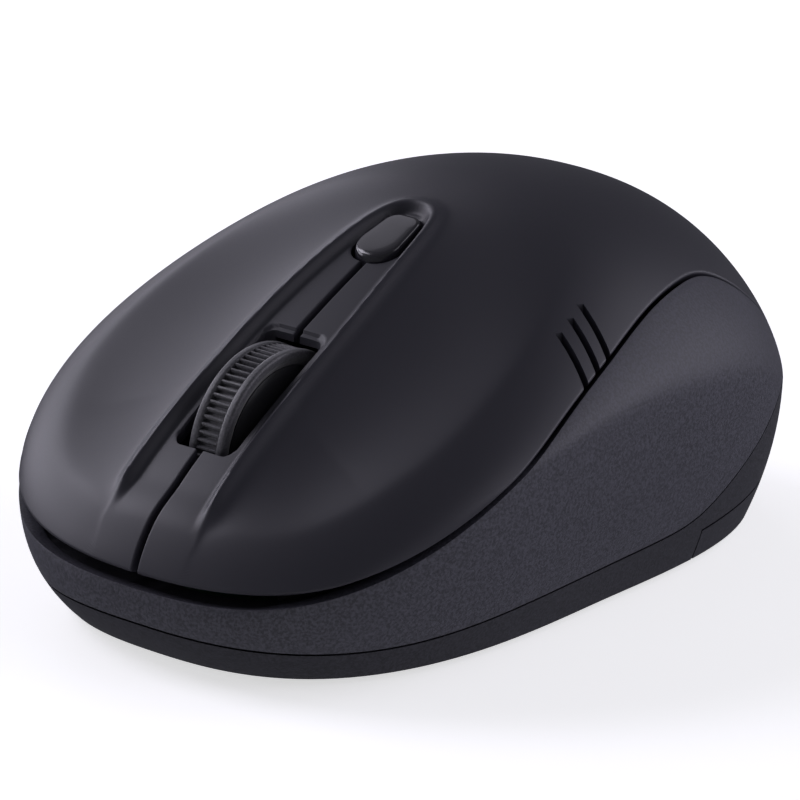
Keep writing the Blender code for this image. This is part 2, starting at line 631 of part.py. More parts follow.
def make_sensor():
    """The lens in the floor, the sensor above it and the lamp beside it."""
    lens = [(0, 1.5), (3.2, 1.5), (3.2, 3.15), (4.9, 3.15), (4.9, 4.0), (2.2, 4.0), (2.2, 4.7), (0, 4.7)]
    paint(turned("sensor_lens", lens, (0, SENSOR_Y, 0), (0, 0, 1), 24), clear_lens)
    sensor = rounded(rectangle(-4.6, SENSOR_Y - 3.6, 4.6, SENSOR_Y + 3.2), 0.5, 2)
    paint(prism("optical_sensor", sensor, "Z", BOARD_TOP + GAP, 8.6), chip_black)
    lamp = [(0, -2.6), (1.5, -2.6), (1.5, 1.2), (1.25, 2.1), (0.7, 2.7), (0, 2.9)]
    paint(turned("sensor_led", lamp, (12.6, SENSOR_Y, 8.2), (-1, 0, 0), 16), red_lamp)


def make_chips():
    low = BOARD_TOP + GAP
    for name, corner, far, height in (
        ("controller_chip", (-17.2, -21.6), (-11.4, -15.8), 1.3),
        ("radio_chip", (14.6, -20.8), (18.2, -17.2), 0.9),
    ):
        body = prism(name, rounded(rectangle(*corner, *far), 0.3, 2), "Z", low, low + height)
        paint(body, chip_black)
    can = rounded(rectangle(-21.6, -20.6, -18.6, -11.4), 1.4, 4)
    paint(prism("crystal", can, "Z", low, low + 3.2), steel)
    capacitor = [(0, low), (2.4, low), (2.5, low + 0.8), (2.3, low + 1.1), (2.5, low + 1.4), (2.5, low + 6.6),
                 (2.2, low + 6.9), (0, low + 6.9)]
    paint(turned("capacitor", capacitor, (-14.2, -12.6, 0), (0, 0, 1), 20), gloss_black)


def make_snap_switches():
    """The two snap switches on the board and their plungers, and the middle switch."""
    low = BOARD_TOP + GAP
    for side, name in ((1, "left"), (-1, "right")):
        x = side * SNAP_X
        side_view = rectangle(SNAP_FRONT, low, SNAP_REAR, low + 6.4)
        body = prism(name + "_switch", side_view, "X", x - 2.9, x + 2.9)
        shape = body.modifiers.new("edge", "BEVEL")
        shape.width = 0.4 * MM
        paint(body, chip_black)
        well = rounded(rectangle(x - 1.5, -33.7, x + 1.5, -31.9), 0.5, 2)
        combine(body, prism(name + "_switch_well", well, "Z", low + 5.4, low + 8), "DIFFERENCE")
        plunger = rounded(rectangle(x - 1.3, -33.5, x + 1.3, -32.1), 0.4, 2)
        paint(prism(name + "_switch_plunger", plunger, "Z", low + 6.0, 13.9, (x, -32.8, 13.2)), white_plastic)
    body = box("middle_switch", (-10.9, -28.9, low), (-5.7, -22.9, 10.1))
    shape = body.modifiers.new("edge", "BEVEL")
    shape.width = 0.4 * MM
    paint(body, chip_black)
    well = cylinder("middle_switch_well", (-8.3, -25.9, 9.3), (0, 0, 1), 1.6, 0.0, 3.0, 16)
    combine(body, well, "DIFFERENCE")
    plunger = cylinder("middle_switch_plunger", (-8.3, -25.9, 9.95), (0, 0, 1), 1.4, 0.0, 1.45, 16)
    paint(plunger, white_plastic)


def make_power_switch():
    body = box("power_switch", (SWITCH_X - 3.9, SWITCH_Y - 1.8, 3.1), (SWITCH_X + 3.9, SWITCH_Y + 1.8, 4.7))
    low, high = (SWITCH_X - 2.6, SWITCH_Y - 0.9, 2.0), (SWITCH_X + 2.6, SWITCH_Y + 0.9, 4.0)
    combine(body, box("power_switch_way", low, high), "DIFFERENCE")
    paint(body, steel)
    start = SWITCH_X - 1.25
    low, high = (start - 1.6, SWITCH_Y - 1.55, 1.0), (start + 1.6, SWITCH_Y + 1.55, 1.4)
    knob = box("power_switch_knob", low, high)
    for k in range(3):
        x = start - 1.05 + 0.85 * k
        groove = box(f"knob_groove_{k}", (x, SWITCH_Y - 3, 0.5), (x + 0.4, SWITCH_Y + 3, 1.15))
        combine(knob, groove, "DIFFERENCE")
    stem = box("knob_stem", (start - 0.8, SWITCH_Y - 0.5, 1.2), (start + 0.8, SWITCH_Y + 0.5, 3.7))
    combine(knob, stem, "UNION")
    paint(knob, white_plastic)


# ---------------------------------------------------------------- power


def make_battery_bay():
    """The tray over the two cells, with their contacts and springs."""
    tray = prism("battery_tray", rounded(rectangle(-12.2, -9.2, 12.2, 42.1), 1.6, 4), "Z", 3.1, 15.0)
    combine(tray, form("tray_limit", WALL + GAP), "INTERSECT")
    combine(tray, box("tray_inside", (-11.2, -8.2, 0.0), (11.2, 41.2, 14.0)), "DIFFERENCE")
    for side in (-1, 1):
        x, y = side * TRAY_SCREW[0], TRAY_SCREW[1]
        low, high = sorted((side * 11.6, side * 18.0))
        flange = rounded(rectangle(low, y - 3.5, high, y + 3.5), 1.0, 3)
        combine(tray, prism(f"tray_flange_{side + 1}", flange, "Z", 3.1, 4.3), "UNION")
        combine(tray, cylinder(f"tray_hole_{side + 1}", (x, y, 0), (0, 0, 1), 1.3, 2, 6, 12), "DIFFERENCE")
    paint(tray, inner_plastic)
    front, rear = -7.2, -7.2 + CELL_LENGTH + NUB_LENGTH + 3.0
    for side, name in ((1, "left"), (-1, "right")):
        # The cells lie head to tail: the left one's positive end is in front.
        head = (side * CELL_X, front if side > 0 else rear, CELL_Z)
        direction = (0, side, 0)
        cell = [(0, 0), (NUB_RADIUS, 0), (NUB_RADIUS, NUB_LENGTH), (CELL_RADIUS - 0.4, NUB_LENGTH),
                (CELL_RADIUS, NUB_LENGTH + 0.4), (CELL_RADIUS, NUB_LENGTH + CELL_LENGTH),
                (0, NUB_LENGTH + CELL_LENGTH)]
        paint(turned(name + "_cell", cell, head, direction, 24), cell_jacket)
        foot = Vector(head) + Vector(direction) * (NUB_LENGTH + CELL_LENGTH + GAP)
        paint(coil(name + "_cell_spring", foot, direction, 2.2, 0.25, 2.4, 3), spring_steel)
    for side, name in ((1, "left"), (-1, "right")):
        plate = rectangle(side * CELL_X - 4.2, 4.4, side * CELL_X + 4.2, 12.6)
        paint(prism(name + "_contact", plate, "Y", -7.95, -7.5), steel)
    plate = rectangle(-CELL_X - 4.2, 4.4, CELL_X + 4.2, 12.6)
    paint(prism("rear_contact", plate, "Y", rear + 0.3, rear + 0.75), steel)


# ---------------------------------------------------------------- fasteners


def screw(name, place, head_low, head_radius, head_thick, shank_radius, tip, upward=True):
    """A pan-head screw with a cross recess, its head below or above its shank."""
    x, y = place
    if upward:
        profile = [(0, head_low), (head_radius, head_low), (head_radius, head_low + head_thick),
                   (shank_radius, head_low + head_thick), (shank_radius, tip - 0.6), (0, tip)]
        recess_low, recess_high = head_low - 1.0, head_low + 0.6
    else:
        top = head_low + head_thick
        profile = [(0, tip), (shank_radius, tip + 0.6), (shank_radius, head_low), (head_radius, head_low),
                   (head_radius, top), (0, top)]
        recess_low, recess_high = top - 0.6, top + 1.0
    made = turned(name, profile, (x, y, 0), (0, 0, 1), 16)
    long_side, short_side = head_radius * 0.62, 0.3
    bars = []
    for bar, half_x, half_y in (("_cross", long_side, short_side), ("_cross_bar", short_side, long_side)):
        low, high = (x - half_x, y - half_y, recess_low), (x + half_x, y + half_y, recess_high)
        bars.append(box(name + bar, low, high))
    cross = bars[0]
    combine(cross, bars[1], "UNION")
    combine(made, cross, "DIFFERENCE")
    return paint(made, steel)


def make_screws():
    for side, name in ((1, "left"), (-1, "right")):
        screw(name + "_front_screw", (side * FRONT_SCREW[0], FRONT_SCREW[1]), 1.1, 2.0, 0.6, 1.0, 8.9)
        screw(name + "_rear_screw", (side * REAR_SCREW[0], REAR_SCREW[1]), 5.6, 2.3, 1.4, 1.0, 15.4)
        screw(name + "_tray_screw", (side * TRAY_SCREW[0], TRAY_SCREW[1]), 4.6, 1.9, 1.2, 0.8, 1.9, False)
    screw("board_screw", BOARD_SCREW, BOARD_TOP + GAP, 1.9, 1.2, 0.9, 3.5, False)


def main():
    for thing in list(bpy.data.objects):
        bpy.data.objects.remove(thing, do_unlink=True)
    make_cover()
    make_skirt()
    make_base()
    make_door()
    make_feet()
    make_wheel()
    make_fork()
    make_wheel_reader()
    make_dpi()
    make_board()
    make_sensor()
    make_chips()
    make_snap_switches()
    make_power_switch()
    make_battery_bay()
    make_screws()


main()
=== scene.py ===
"""Looks for the compact cordless mouse. Lengths are millimetres in the frame's axes; MM gives metres."""

import json
import math

import bmesh
import bpy
import numpy as np
from mathutils import Matrix, Vector


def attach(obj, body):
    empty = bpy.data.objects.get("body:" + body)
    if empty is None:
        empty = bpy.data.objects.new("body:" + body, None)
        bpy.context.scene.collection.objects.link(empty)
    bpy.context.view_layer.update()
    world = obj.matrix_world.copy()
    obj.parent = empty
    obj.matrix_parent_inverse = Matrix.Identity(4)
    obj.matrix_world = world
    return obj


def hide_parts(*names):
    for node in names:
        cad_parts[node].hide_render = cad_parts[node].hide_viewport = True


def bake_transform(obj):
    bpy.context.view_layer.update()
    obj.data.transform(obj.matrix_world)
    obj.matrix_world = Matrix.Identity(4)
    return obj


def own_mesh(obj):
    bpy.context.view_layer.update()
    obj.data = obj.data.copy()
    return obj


MM = 0.001
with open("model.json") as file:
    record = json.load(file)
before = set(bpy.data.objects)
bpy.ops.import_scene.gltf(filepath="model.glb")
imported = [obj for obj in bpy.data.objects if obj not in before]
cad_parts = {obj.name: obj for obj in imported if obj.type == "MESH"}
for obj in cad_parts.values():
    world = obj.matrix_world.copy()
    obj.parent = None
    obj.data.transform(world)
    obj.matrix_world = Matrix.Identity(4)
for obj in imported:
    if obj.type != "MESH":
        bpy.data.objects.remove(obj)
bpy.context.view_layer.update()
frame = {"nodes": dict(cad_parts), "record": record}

# Body form: plan outline, arched sections and centre line. A triple is for the nose, the sides and the tail
HALF_LENGTH, HALF_WIDTH = 46.0, 31.7
PLAN_POWER, ARCH_SIDE_POWER, ARCH_TOP_POWER = 2.76, 2.17, 1.53
CROWN_ANGLES = (0, 15, 32, 52, 74, 96, 118, 140, 160, 180)
CROWN_HEIGHTS = (8.0, 13.4, 19.4, 26.4, 34.6, 40.6, 40.3, 34.5, 24.4, 12.1)
BELT = (8.0, 24.8, 12.1)
TUCK = (4.0, 5.8, 0.7)
UNDERSIDE, WALL, SKIN = 0.8, 1.8, 1.2

# Seams in side view, (y, z)
COVER_EDGE = ((-46, 10.6), (-41, 12.2), (-34, 14.9), (-25, 19.2), (-13, 25.7), (-2, 30.0),
              (7, 32.5), (15, 33.3), (21, 32.6), (27, 29.7), (33, 25.1), (39, 20.0), (46, 16.8))
BASE_EDGE = ((-46, 5.0), (-31, 4.4), (-12, 5.5), (9, 6.2), (15.5, 7.2), (20, 9.4),
             (27, 13.4), (33, 16.9), (39, 19.6), (46, 21.0))
GAP, NOSE_GAP, GAP_GROWS_FROM, SEAM = 0.3, 1.45, -8.0, 0.26

# Cover: hinge line, slit, wheel slot, centre button hole
HINGE_Y, HINGE_Z, BEND_END_Y = 3.0, 36.0, -4.0
HALF_SLIT = 0.4
SLOT_HALF_WIDTH, SLOT_FRONT, SLOT_REAR, SLOT_CORNER = 3.9, -35.2, -19.6, 1.2
DPI_FRONT, DPI_REAR = -8.3, -0.8
DPI_FRONT_HALF, DPI_REAR_HALF, DPI_RADII = 3.05, 2.15, (2.5, 2.5, 1.6, 1.6)
ROUNDING, SLIT_ROUNDING = 0.3, 0.16

# Channel between the finger scoops, half of it: the crest of its bead
BEAD = ((6.3, -43.4), (6.1, -41), (5.95, -36), (5.85, -30), (5.7, -24), (5.45, -18), (5.05, -12.5),
        (4.5, -7.5), (3.9, -3.6), (3.25, -1.2), (2.3, 0.45), (1.2, 1.15), (0.0, 1.35))
BEAD_HEIGHT, BEAD_WIDTH, BEAD_START, BEAD_RISE = 0.5, 1.0, -42.2, 3.0
CHANNEL_DEPTH, CHANNEL_WALL, CHANNEL_START, CHANNEL_FALL = -0.62, 1.25, -43.0, 4.0
# Outer limit of a finger scoop
SCOOP = ((6.8, -42.6), (9.3, -41.4), (12.6, -40.3), (16.2, -38.4), (19.7, -34.6), (22.2, -29.7),
         (23.6, -25), (24.1, -19), (23.4, -11.4), (21.6, -3.9), (19.8, 1.7), (18.0, 8.0))
SCOOP_DEPTH, SCOOP_SOFTNESS, SCOOP_FULL_WIDTH, SCOOP_FADE, SCOOP_FADE_LENGTH = 1.6, 0.7, 15, -16, 24
COVER_EDGE_SLOPE = 0.85
# Vents: where each starts; all run outwards to the cover's edge
VENTS = ((22.9, -0.5), (23.45, -2.95), (23.9, -5.5))
VENT_RUN, VENT_WIDTH = (5.3, -2.25), 0.85
VENT_REACH, VENT_BOW = 9.0, 0.35

# Skirt and the ledge inside it
SKIRT_THICK, SKIRT_ROUNDING = 1.6, 0.38
LEDGE_DROP, LEDGE_OUTER, LEDGE_INNER, LEDGE_THICK = 0.55, 1.2, 4.8, 0.9

# Wheel: its centre, tyre, the room cut for it, ribs, rims and hub
WHEEL = Vector((0.0, -23.9, 19.15))
WHEEL_RADIUS, TYRE_INNER, TYRE_HALF_WIDTH = 10.7, 9.0, 2.35
WHEEL_ROOM, WHEEL_ROOM_HALF = 0.35, 2.9
RIBS, RIB_DEPTH, RIM_HALF, RIM_LIP = 78, 0.7, 1.3, 0.12
HUB_HALF, HUB_BULGE = 1.95, 0.95

# Underside: screws, sensor, power switch, label and feet
SCREW_X, SCREW_Y = 20.5, -27.0
SINK_RADIUS, SINK_TOP = 2.4, 2.0
SENSOR_Y = -14.5
SWITCH_POCKET, SWITCH_SLIT = (-22.4, -16.9, -15.6, -13.1), (-21.4, -15.8, -16.6, -14.2)
LABEL = (-19.5, -6.5, -14.2, 14.0)
FOOT_THICK, FOOT_GAP, FOOT_SEAT_TOP = 1.1, 0.3, 1.4
FRONT_FOOT, FRONT_FOOT_RADIUS = (3.0, -36.4, 15.0, -32.4), 1.9
REAR_FOOT, REAR_FOOT_RADIUS = (-12.0, 35.0, 12.0, 39.4), 2.1

# Door: its seam in side view, its tongue and its finger grips
DOOR_SIDE = ((18.6, -2.0), (17.5, 4.6), (46.0, 6.4))
TONGUE_FRONT, TONGUE_HALF_WIDTH = -8.6, 12.6
DOOR_SEAM = 0.3
GRIPS, GRIP_START, GRIP_STEP, GRIP_WIDTH, GRIP_HALF_LENGTH = 5, 9.0, 1.7, 0.8, 7.0

# Camera: its direction and distance from the object, in degrees and metres
CAMERA_AZIMUTH, CAMERA_ELEVATION, CAMERA_ROLL = 38.08, 19.45, -1.41
CAMERA_DISTANCE, CAMERA_AIM_HEIGHT, CAMERA_LENS = 0.608, 0.01533, 250.6
CAMERA_SHIFT = (-0.01146, 0.02735)

# Softboxes: azimuth and elevation seen from the object in degrees, width and height in metres, brightness
SOFTBOXES = (
    (240, 14, 0.45, 0.30, 1.7),
    (270, 14, 0.45, 0.30, 3.8),
    (300, 14, 0.45, 0.30, 2.9),
    (285, 40, 0.50, 0.40, 4.7),
    (120, 14, 0.45, 0.30, 4.1),
    (150, 14, 0.45, 0.30, 3.3),
    (150, 40, 0.50, 0.40, 1.6),
    (105, 40, 0.50, 0.40, 0.9),
    (240, 40, 0.50, 0.40, 0.5),
)
SOFTBOX_DISTANCE, SOFTBOX_COLOUR = 1.0, (0.97, 0.94, 1.08)
FLOOR_GLOW = 0.62
WORLD_COLOUR, WORLD_BRIGHTNESS = (0.9, 0.92, 1.0, 1), 0.11


# ---------------------------------------------------------------- curves and the body form


def smooth_curve(knots, values):
    """A cubic of continuous curvature through the knots, as a function of the position."""
    x, y = np.array(knots, float), np.array(values, float)
    step = np.diff(x)
    rows = np.zeros((len(x), len(x)))
    right = np.zeros(len(x))
    rows[0, :2] = rows[-1, -2:] = 1, -1
    for i in range(1, len(x) - 1):
        rows[i, i - 1 : i + 2] = step[i - 1], 2 * (step[i - 1] + step[i]), step[i]
        right[i] = 6 * ((y[i + 1] - y[i]) / step[i] - (y[i] - y[i - 1]) / step[i - 1])
    bend = np.linalg.solve(rows, right)

    def value(at):
        at = np.clip(at, x[0], x[-1])
        i = np.clip(np.searchsorted(x, at) - 1, 0, len(x) - 2)
        before = (x[i + 1] - at) / step[i]
        after = 1 - before
        curve = (before**3 - before) * bend[i] + (after**3 - after) * bend[i + 1]
        return before * y[i] + after * y[i + 1] + curve * step[i] ** 2 / 6

    return value


def smooth_line(points, count):
    """Points evenly placed along a smooth plane line through the given ones."""
    points = np.array(points, float)
    along = np.concatenate([[0], np.cumsum(np.linalg.norm(np.diff(points, axis=0), axis=1))])
    places = np.linspace(0, along[-1], count)
    return np.stack([smooth_curve(along, points[:, k])(places) for k in (0, 1)], 1)


def distance_to(points, line):
    """Shortest distance from each plane point to a line of segments."""
    best = np.full(len(points), 1e9)
    for a, b in zip(line, line[1:]):
        run = b - a
        t = np.clip((points - a) @ run / (run @ run), 0, 1)
        best = np.minimum(best, np.linalg.norm(points - a - t[:, None] * run, axis=1))
    return best


def ease(t):
    """A smooth step from 0 to 1."""
    t = np.clip(t, 0, 1)
    return t * t * (3 - 2 * t)


crown_at = smooth_curve(CROWN_ANGLES, CROWN_HEIGHTS)
cover_edge = smooth_curve(*zip(*COVER_EDGE))
base_edge = smooth_curve(*zip(*BASE_EDGE))


def along_ends(u, ends):
    """A value that runs from the nose's through the sides' to the tail's, as u goes from -1 to 1."""
    front, rear = np.maximum(0, -u) ** 2, np.maximum(0, u) ** 2
    return front * ends[0] + rear * ends[2] + (1 - front - rear) * ends[1]


def crown(u, lower=0.0):
    """Height of the centre line."""
    return crown_at(np.degrees(np.arccos(np.clip(-u, -1, 1)))) - lower


def top_height(u, across, lower=0.0):
    """Height of the body's top, where across is the share of the way from the centre line to the side."""
    belt = along_ends(u, BELT)
    arch = (1 - np.minimum(across, 1.0) ** ARCH_SIDE_POWER) ** (1 / ARCH_TOP_POWER)
    return belt + (crown(u, lower) - belt) * arch


def plan_width(u):
    return (1 - np.minimum(np.abs(u), 1.0) ** PLAN_POWER) ** (1 / PLAN_POWER)


def plan_point(angle):
    """The plan outline's point in a direction, in half widths and half lengths, and the direction's sine."""
    c, s = math.cos(angle), math.sin(angle)
    reach = (abs(c) ** PLAN_POWER + abs(s) ** PLAN_POWER) ** (-1 / PLAN_POWER)
    return reach * c, reach * s, s


def meridian(angle, inset=0.0, lower_steps=60, upper_steps=150):
    """The body's profile from its underside's rim up over the belt to the crown, in one plan direction."""
    x, y, s = plan_point(angle)
    half_width, half_length = HALF_WIDTH - inset, HALF_LENGTH - inset
    floor = UNDERSIDE + inset * 2.0 / WALL
    t = np.linspace(1, 0, lower_steps)
    tuck = along_ends(s, TUCK) * t * t
    belt = along_ends(y, BELT)
    low = np.stack([(half_width - tuck) * x, (half_length - tuck) * y, belt * (1 - t) + floor * t], 1)
    share = np.cos(np.linspace(0, math.pi / 2, upper_steps)[1:])
    u = share * y
    width = plan_width(u)
    high = top_height(u, share * abs(x) / np.maximum(width, 1e-9), inset)
    high = np.stack([half_width * share * x, half_length * u, high], 1)
    return np.concatenate([low, high])


def gap_at(y):
    """Gap between the cover and the skirt, which opens towards the nose."""
    forward = np.maximum(0.0, (GAP_GROWS_FROM - y) / (GAP_GROWS_FROM + HALF_LENGTH))
    return GAP + (NOSE_GAP - GAP) * forward**1.5


def skirt_top(y):
    return cover_edge(y) - gap_at(y)


def base_top(y):
    return np.minimum(base_edge(y), cover_edge(y) - GAP)


# ---------------------------------------------------------------- mesh helpers


def piece_from(name, points, faces, sharp=40):
    """A mesh piece from points in millimetres, with shaded edges sharper than the angle given."""
    data = bpy.data.meshes.new(name)
    data.from_pydata((np.asarray(points, float) * MM).tolist(), [], [tuple(map(int, f)) for f in faces])
    data.validate()
    mesh = bmesh.new()
    mesh.from_mesh(data)
    bmesh.ops.recalc_face_normals(mesh, faces=mesh.faces)
    mesh.to_mesh(data)
    mesh.free()
    data.shade_smooth()
    data.set_sharp_from_angle(angle=math.radians(sharp))
    thing = bpy.data.objects.new(name, data)
    bpy.context.scene.collection.objects.link(thing)
    return thing


def grid_faces(rows, columns, around=False):
    faces = []
    for i in range(rows - 1):
        for j in range(columns if around else columns - 1):
            k = (j + 1) % columns
            faces.append((i * columns + j, i * columns + k, (i + 1) * columns + k, (i + 1) * columns + j))
    return faces


def freeze(thing, sharp=40):
    """Applies the modifiers and takes the helpers they used out of the scene."""
    helpers = {m.object for m in thing.modifiers if m.type == "BOOLEAN"}
    bpy.context.view_layer.update()
    graph = bpy.context.evaluated_depsgraph_get()
    data = bpy.data.meshes.new_from_object(thing.evaluated_get(graph))
    thing.modifiers.clear()
    thing.data = data
    data.shade_smooth()
    data.set_sharp_from_angle(angle=math.radians(sharp))
    for other in helpers:
        bpy.data.objects.remove(other, do_unlink=True)
    return thing


def combine(thing, other, operation):
    """Adds a Boolean with a helper. MANIFOLD keeps thin curved walls closed."""
    step = thing.modifiers.new(other.name, "BOOLEAN")
    step.operation = operation
    step.object = other
    step.solver = "MANIFOLD"
    other.hide_render = True


def bevel(thing, width, segments, angle=40):
    """Rounds the edges sharper than an angle, by a width in millimetres."""
    step = thing.modifiers.new("edges", "BEVEL")
    step.width = width * MM
    step.segments = segments
    step.limit_method = "ANGLE"
    step.angle_limit = math.radians(angle)
    step.use_clamp_overlap = True
    return thing


def rounded(corners, radii, steps=6):
    """A convex outline whose corners are arcs: one radius for all of them, or one for each."""
    if not isinstance(radii, (tuple, list)):
        radii = [radii] * len(corners)
    outline = []
    for i, (corner, radius) in enumerate(zip(corners, radii)):
        here = Vector(corner)
        back = (Vector(corners[i - 1]) - here).normalized()
        ahead = (Vector(corners[(i + 1) % len(corners)]) - here).normalized()
        half = back.angle(ahead) / 2
        middle = here + (back + ahead).normalized() * radius / math.sin(half)
        first = here + back * radius / math.tan(half) - middle
        last = here + ahead * radius / math.tan(half) - middle
        for k in range(steps + 1):
            outline.append(tuple(middle + first.slerp(last, k / steps).normalized() * radius))
    return outline


def rectangle(low_x, low_y, high_x, high_y):
    return [(low_x, low_y), (high_x, low_y), (high_x, high_y), (low_x, high_y)]


def prism(name, outline, axis, low, high):
    """An outline drawn out along an axis."""
    order = {"X": (2, 0, 1), "Y": (0, 2, 1), "Z": (0, 1, 2)}[axis]
    points = []
    for along in (low, high):
        for a, b in outline:
            values = (a, b, along)
            points.append([values[order[i]] for i in range(3)])
    count = len(outline)
    faces = [(k, (k + 1) % count, count + (k + 1) % count, count + k) for k in range(count)]
    faces += [tuple(range(count))[::-1], tuple(range(count, 2 * count))]
    return piece_from(name, points, faces)


def turned(name, profile, centre, axis, steps, sharp=40):
    """A closed ring profile, (distance from the axis, place along it), turned about an axis."""
    turn = Vector((0, 0, 1)).rotation_difference(Vector(axis)).to_matrix()
    points = []
    for k in range(steps):
        a = 2 * math.pi * k / steps
        for radius, along in profile:
            ring_point = Vector((radius * math.cos(a), radius * math.sin(a), along))
            points.append(Vector(centre) + turn @ ring_point)
    count = len(profile)
    faces = []
    for k in range(steps):
        n = (k + 1) % steps
        for i in range(count):
            j = (i + 1) % count
            faces.append((k * count + i, n * count + i, n * count + j, k * count + j))
    return piece_from(name, [tuple(p) for p in points], faces, sharp)


# ---------------------------------------------------------------- materials


def node(tree, kind, **inputs):
    """A shader node with its inputs set, an underscore standing for a space in their names."""
    made = tree.nodes.new(kind)
    for name, value in inputs.items():
        made.inputs[name.replace("_", " ")].default_value = value
    return made


def plastic(name, colour, roughness, grain=0.25, bump=0.1, mottle=0.12, specular=0.5, coat=0.0,
            metallic=0.0, sheen=0.0, transmission=0.0, spread=0.06, speckle=0.0):
    """Moulded plastic: a fine spark grain in the surface, slight unevenness of colour and gloss.
    grain is the grain's size in millimetres, bump its strength, speckle the grain's contrast in colour."""
    made = bpy.data.materials.new(name)
    made.use_nodes = True
    tree = made.node_tree
    shader = tree.nodes["Principled BSDF"]
    shader.inputs["Metallic"].default_value = metallic
    shader.inputs["Specular IOR Level"].default_value = specular
    shader.inputs["Coat Weight"].default_value = coat
    shader.inputs["Coat Roughness"].default_value = 0.06
    shader.inputs["Sheen Weight"].default_value = sheen
    shader.inputs["Sheen Roughness"].default_value = 0.5
    shader.inputs["Transmission Weight"].default_value = transmission
    place = tree.nodes.new("ShaderNodeTexCoord")
    fine = node(tree, "ShaderNodeTexNoise", Scale=1000 / grain, Detail=2.0, Roughness=0.6)
    wide = node(tree, "ShaderNodeTexNoise", Scale=90.0, Detail=4.0, Roughness=0.6)
    for texture in (fine, wide):
        tree.links.new(place.outputs["Object"], texture.inputs["Vector"])
    tint = tree.nodes.new("ShaderNodeMix")
    tint.data_type = "RGBA"
    tint.inputs["A"].default_value = (*[c * (1 - mottle) for c in colour], 1)
    tint.inputs["B"].default_value = (*[c * (1 + mottle) for c in colour], 1)
    tree.links.new(wide.outputs["Fac"], tint.inputs["Factor"])
    tree.links.new(tint.outputs["Result"], shader.inputs["Base Color"])
    if speckle:
        contrast = node(tree, "ShaderNodeMapRange", From_Min=0.38, From_Max=0.62, To_Min=1 - speckle,
                        To_Max=1 + speckle)
        tree.links.new(fine.outputs["Fac"], contrast.inputs["Value"])
        specks = tree.nodes.new("ShaderNodeVectorMath")
        specks.operation = "SCALE"
        tree.links.new(tint.outputs["Result"], specks.inputs[0])
        tree.links.new(contrast.outputs["Result"], specks.inputs["Scale"])
        tree.links.new(specks.outputs["Vector"], shader.inputs["Base Color"])
    gloss = node(tree, "ShaderNodeMapRange", To_Min=max(0.02, roughness - spread), To_Max=roughness + spread)
    tree.links.new(fine.outputs["Fac"], gloss.inputs["Value"])
    tree.links.new(gloss.outputs["Result"], shader.inputs["Roughness"])
    if bump:
        dents = node(tree, "ShaderNodeBump", Strength=bump, Distance=grain * 0.1 * MM)
        tree.links.new(fine.outputs["Fac"], dents.inputs["Height"])
        tree.links.new(dents.outputs["Normal"], shader.inputs["Normal"])
    return made


LOOKS = {
    "soft_touch_cover": plastic("soft_touch_cover", (0.0242, 0.0232, 0.0318), 0.45, 0.14, 0.3, 0.06),
    "side_plastic": plastic("side_plastic", (0.036, 0.0352, 0.048), 0.56, 0.34, 1.0, 0.1, speckle=0.3),
    "base_plastic": plastic("base_plastic", (0.0185, 0.0178, 0.0245), 0.5, 0.34, 0.9, 0.1, speckle=0.3),
    "gloss_button": plastic("gloss_button", (0.021, 0.0198, 0.0255), 0.2, 0.6, 0.02, 0.1, coat=0.5,
                            spread=0.03),
    "tyre_rubber": plastic("tyre_rubber", (0.05, 0.049, 0.057), 0.42, 0.26, 1.0, 0.3,
                           sheen=0.25, speckle=0.35),
    "inner_plastic": plastic("inner_plastic", (0.014, 0.014, 0.016), 0.45, 0.2, 0.4),
    "fork_plastic": plastic("fork_plastic", (0.62, 0.62, 0.6), 0.4, 0.3, 0.2, 0.04),
    "foot_plastic": plastic("foot_plastic", (0.011, 0.011, 0.012), 0.3, 0.3, 0.2),
    "board": plastic("board", (0.008, 0.07, 0.025), 0.3, 0.8, 0.5, 0.3, coat=0.3),
    "chip": plastic("chip", (0.013, 0.013, 0.014), 0.5, 0.1, 0.6),
    "lens": plastic("lens", (0.9, 0.9, 0.92), 0.06, 0.8, 0.02, 0.02, transmission=1.0, spread=0.02),
    "lamp": plastic("lamp", (0.6, 0.02, 0.02), 0.1, 0.8, 0.02, 0.05, transmission=0.7, spread=0.03),
    "steel": plastic("steel", (0.55, 0.55, 0.56), 0.28, 0.2, 0.3, 0.08, metallic=1.0),
    "cell_jacket": plastic("cell_jacket", (0.03, 0.07, 0.22), 0.3, 0.6, 0.1, 0.06, coat=0.4),
}


def dress(thing, slot, body=None):
    """Gives a new piece its slot's material and the body it rides on."""
    thing.data.materials.clear()
    thing.data.materials.append(LOOKS[slot])
    if body:
        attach(thing, body)
    return thing


# ---------------------------------------------------------------- top cover

bead_line = smooth_line(BEAD, 90)
scoop_line = smooth_line(SCOOP, 90)


def dpi_outline(grow, steps=8):
    """The centre button's outline, wider at the front."""
    front, rear = DPI_FRONT_HALF + grow, DPI_REAR_HALF + grow
    corners = [(-front, DPI_FRONT - grow), (front, DPI_FRONT - grow)]
    corners += [(rear, DPI_REAR + grow), (-rear, DPI_REAR + grow)]
    return rounded(corners, DPI_RADII, steps)


def slot_distance(x, y):
    """Distance from the wheel slot's edge, negative inside the slot."""
    middle = (SLOT_FRONT + SLOT_REAR) / 2
    across = np.abs(x) - (SLOT_HALF_WIDTH - SLOT_CORNER)
    along = np.abs(y - middle) - ((SLOT_REAR - SLOT_FRONT) / 2 - SLOT_CORNER)
    outside = np.hypot(np.maximum(across, 0), np.maximum(along, 0))
    return outside + np.minimum(np.maximum(across, along), 0) - SLOT_CORNER


def turned_down(distance, radius=ROUNDING):
    """How far a surface drops as it rounds over an edge at distance 0."""
    left = np.clip(radius - distance, 0, radius)
    return radius - np.sqrt(radius**2 - left**2)


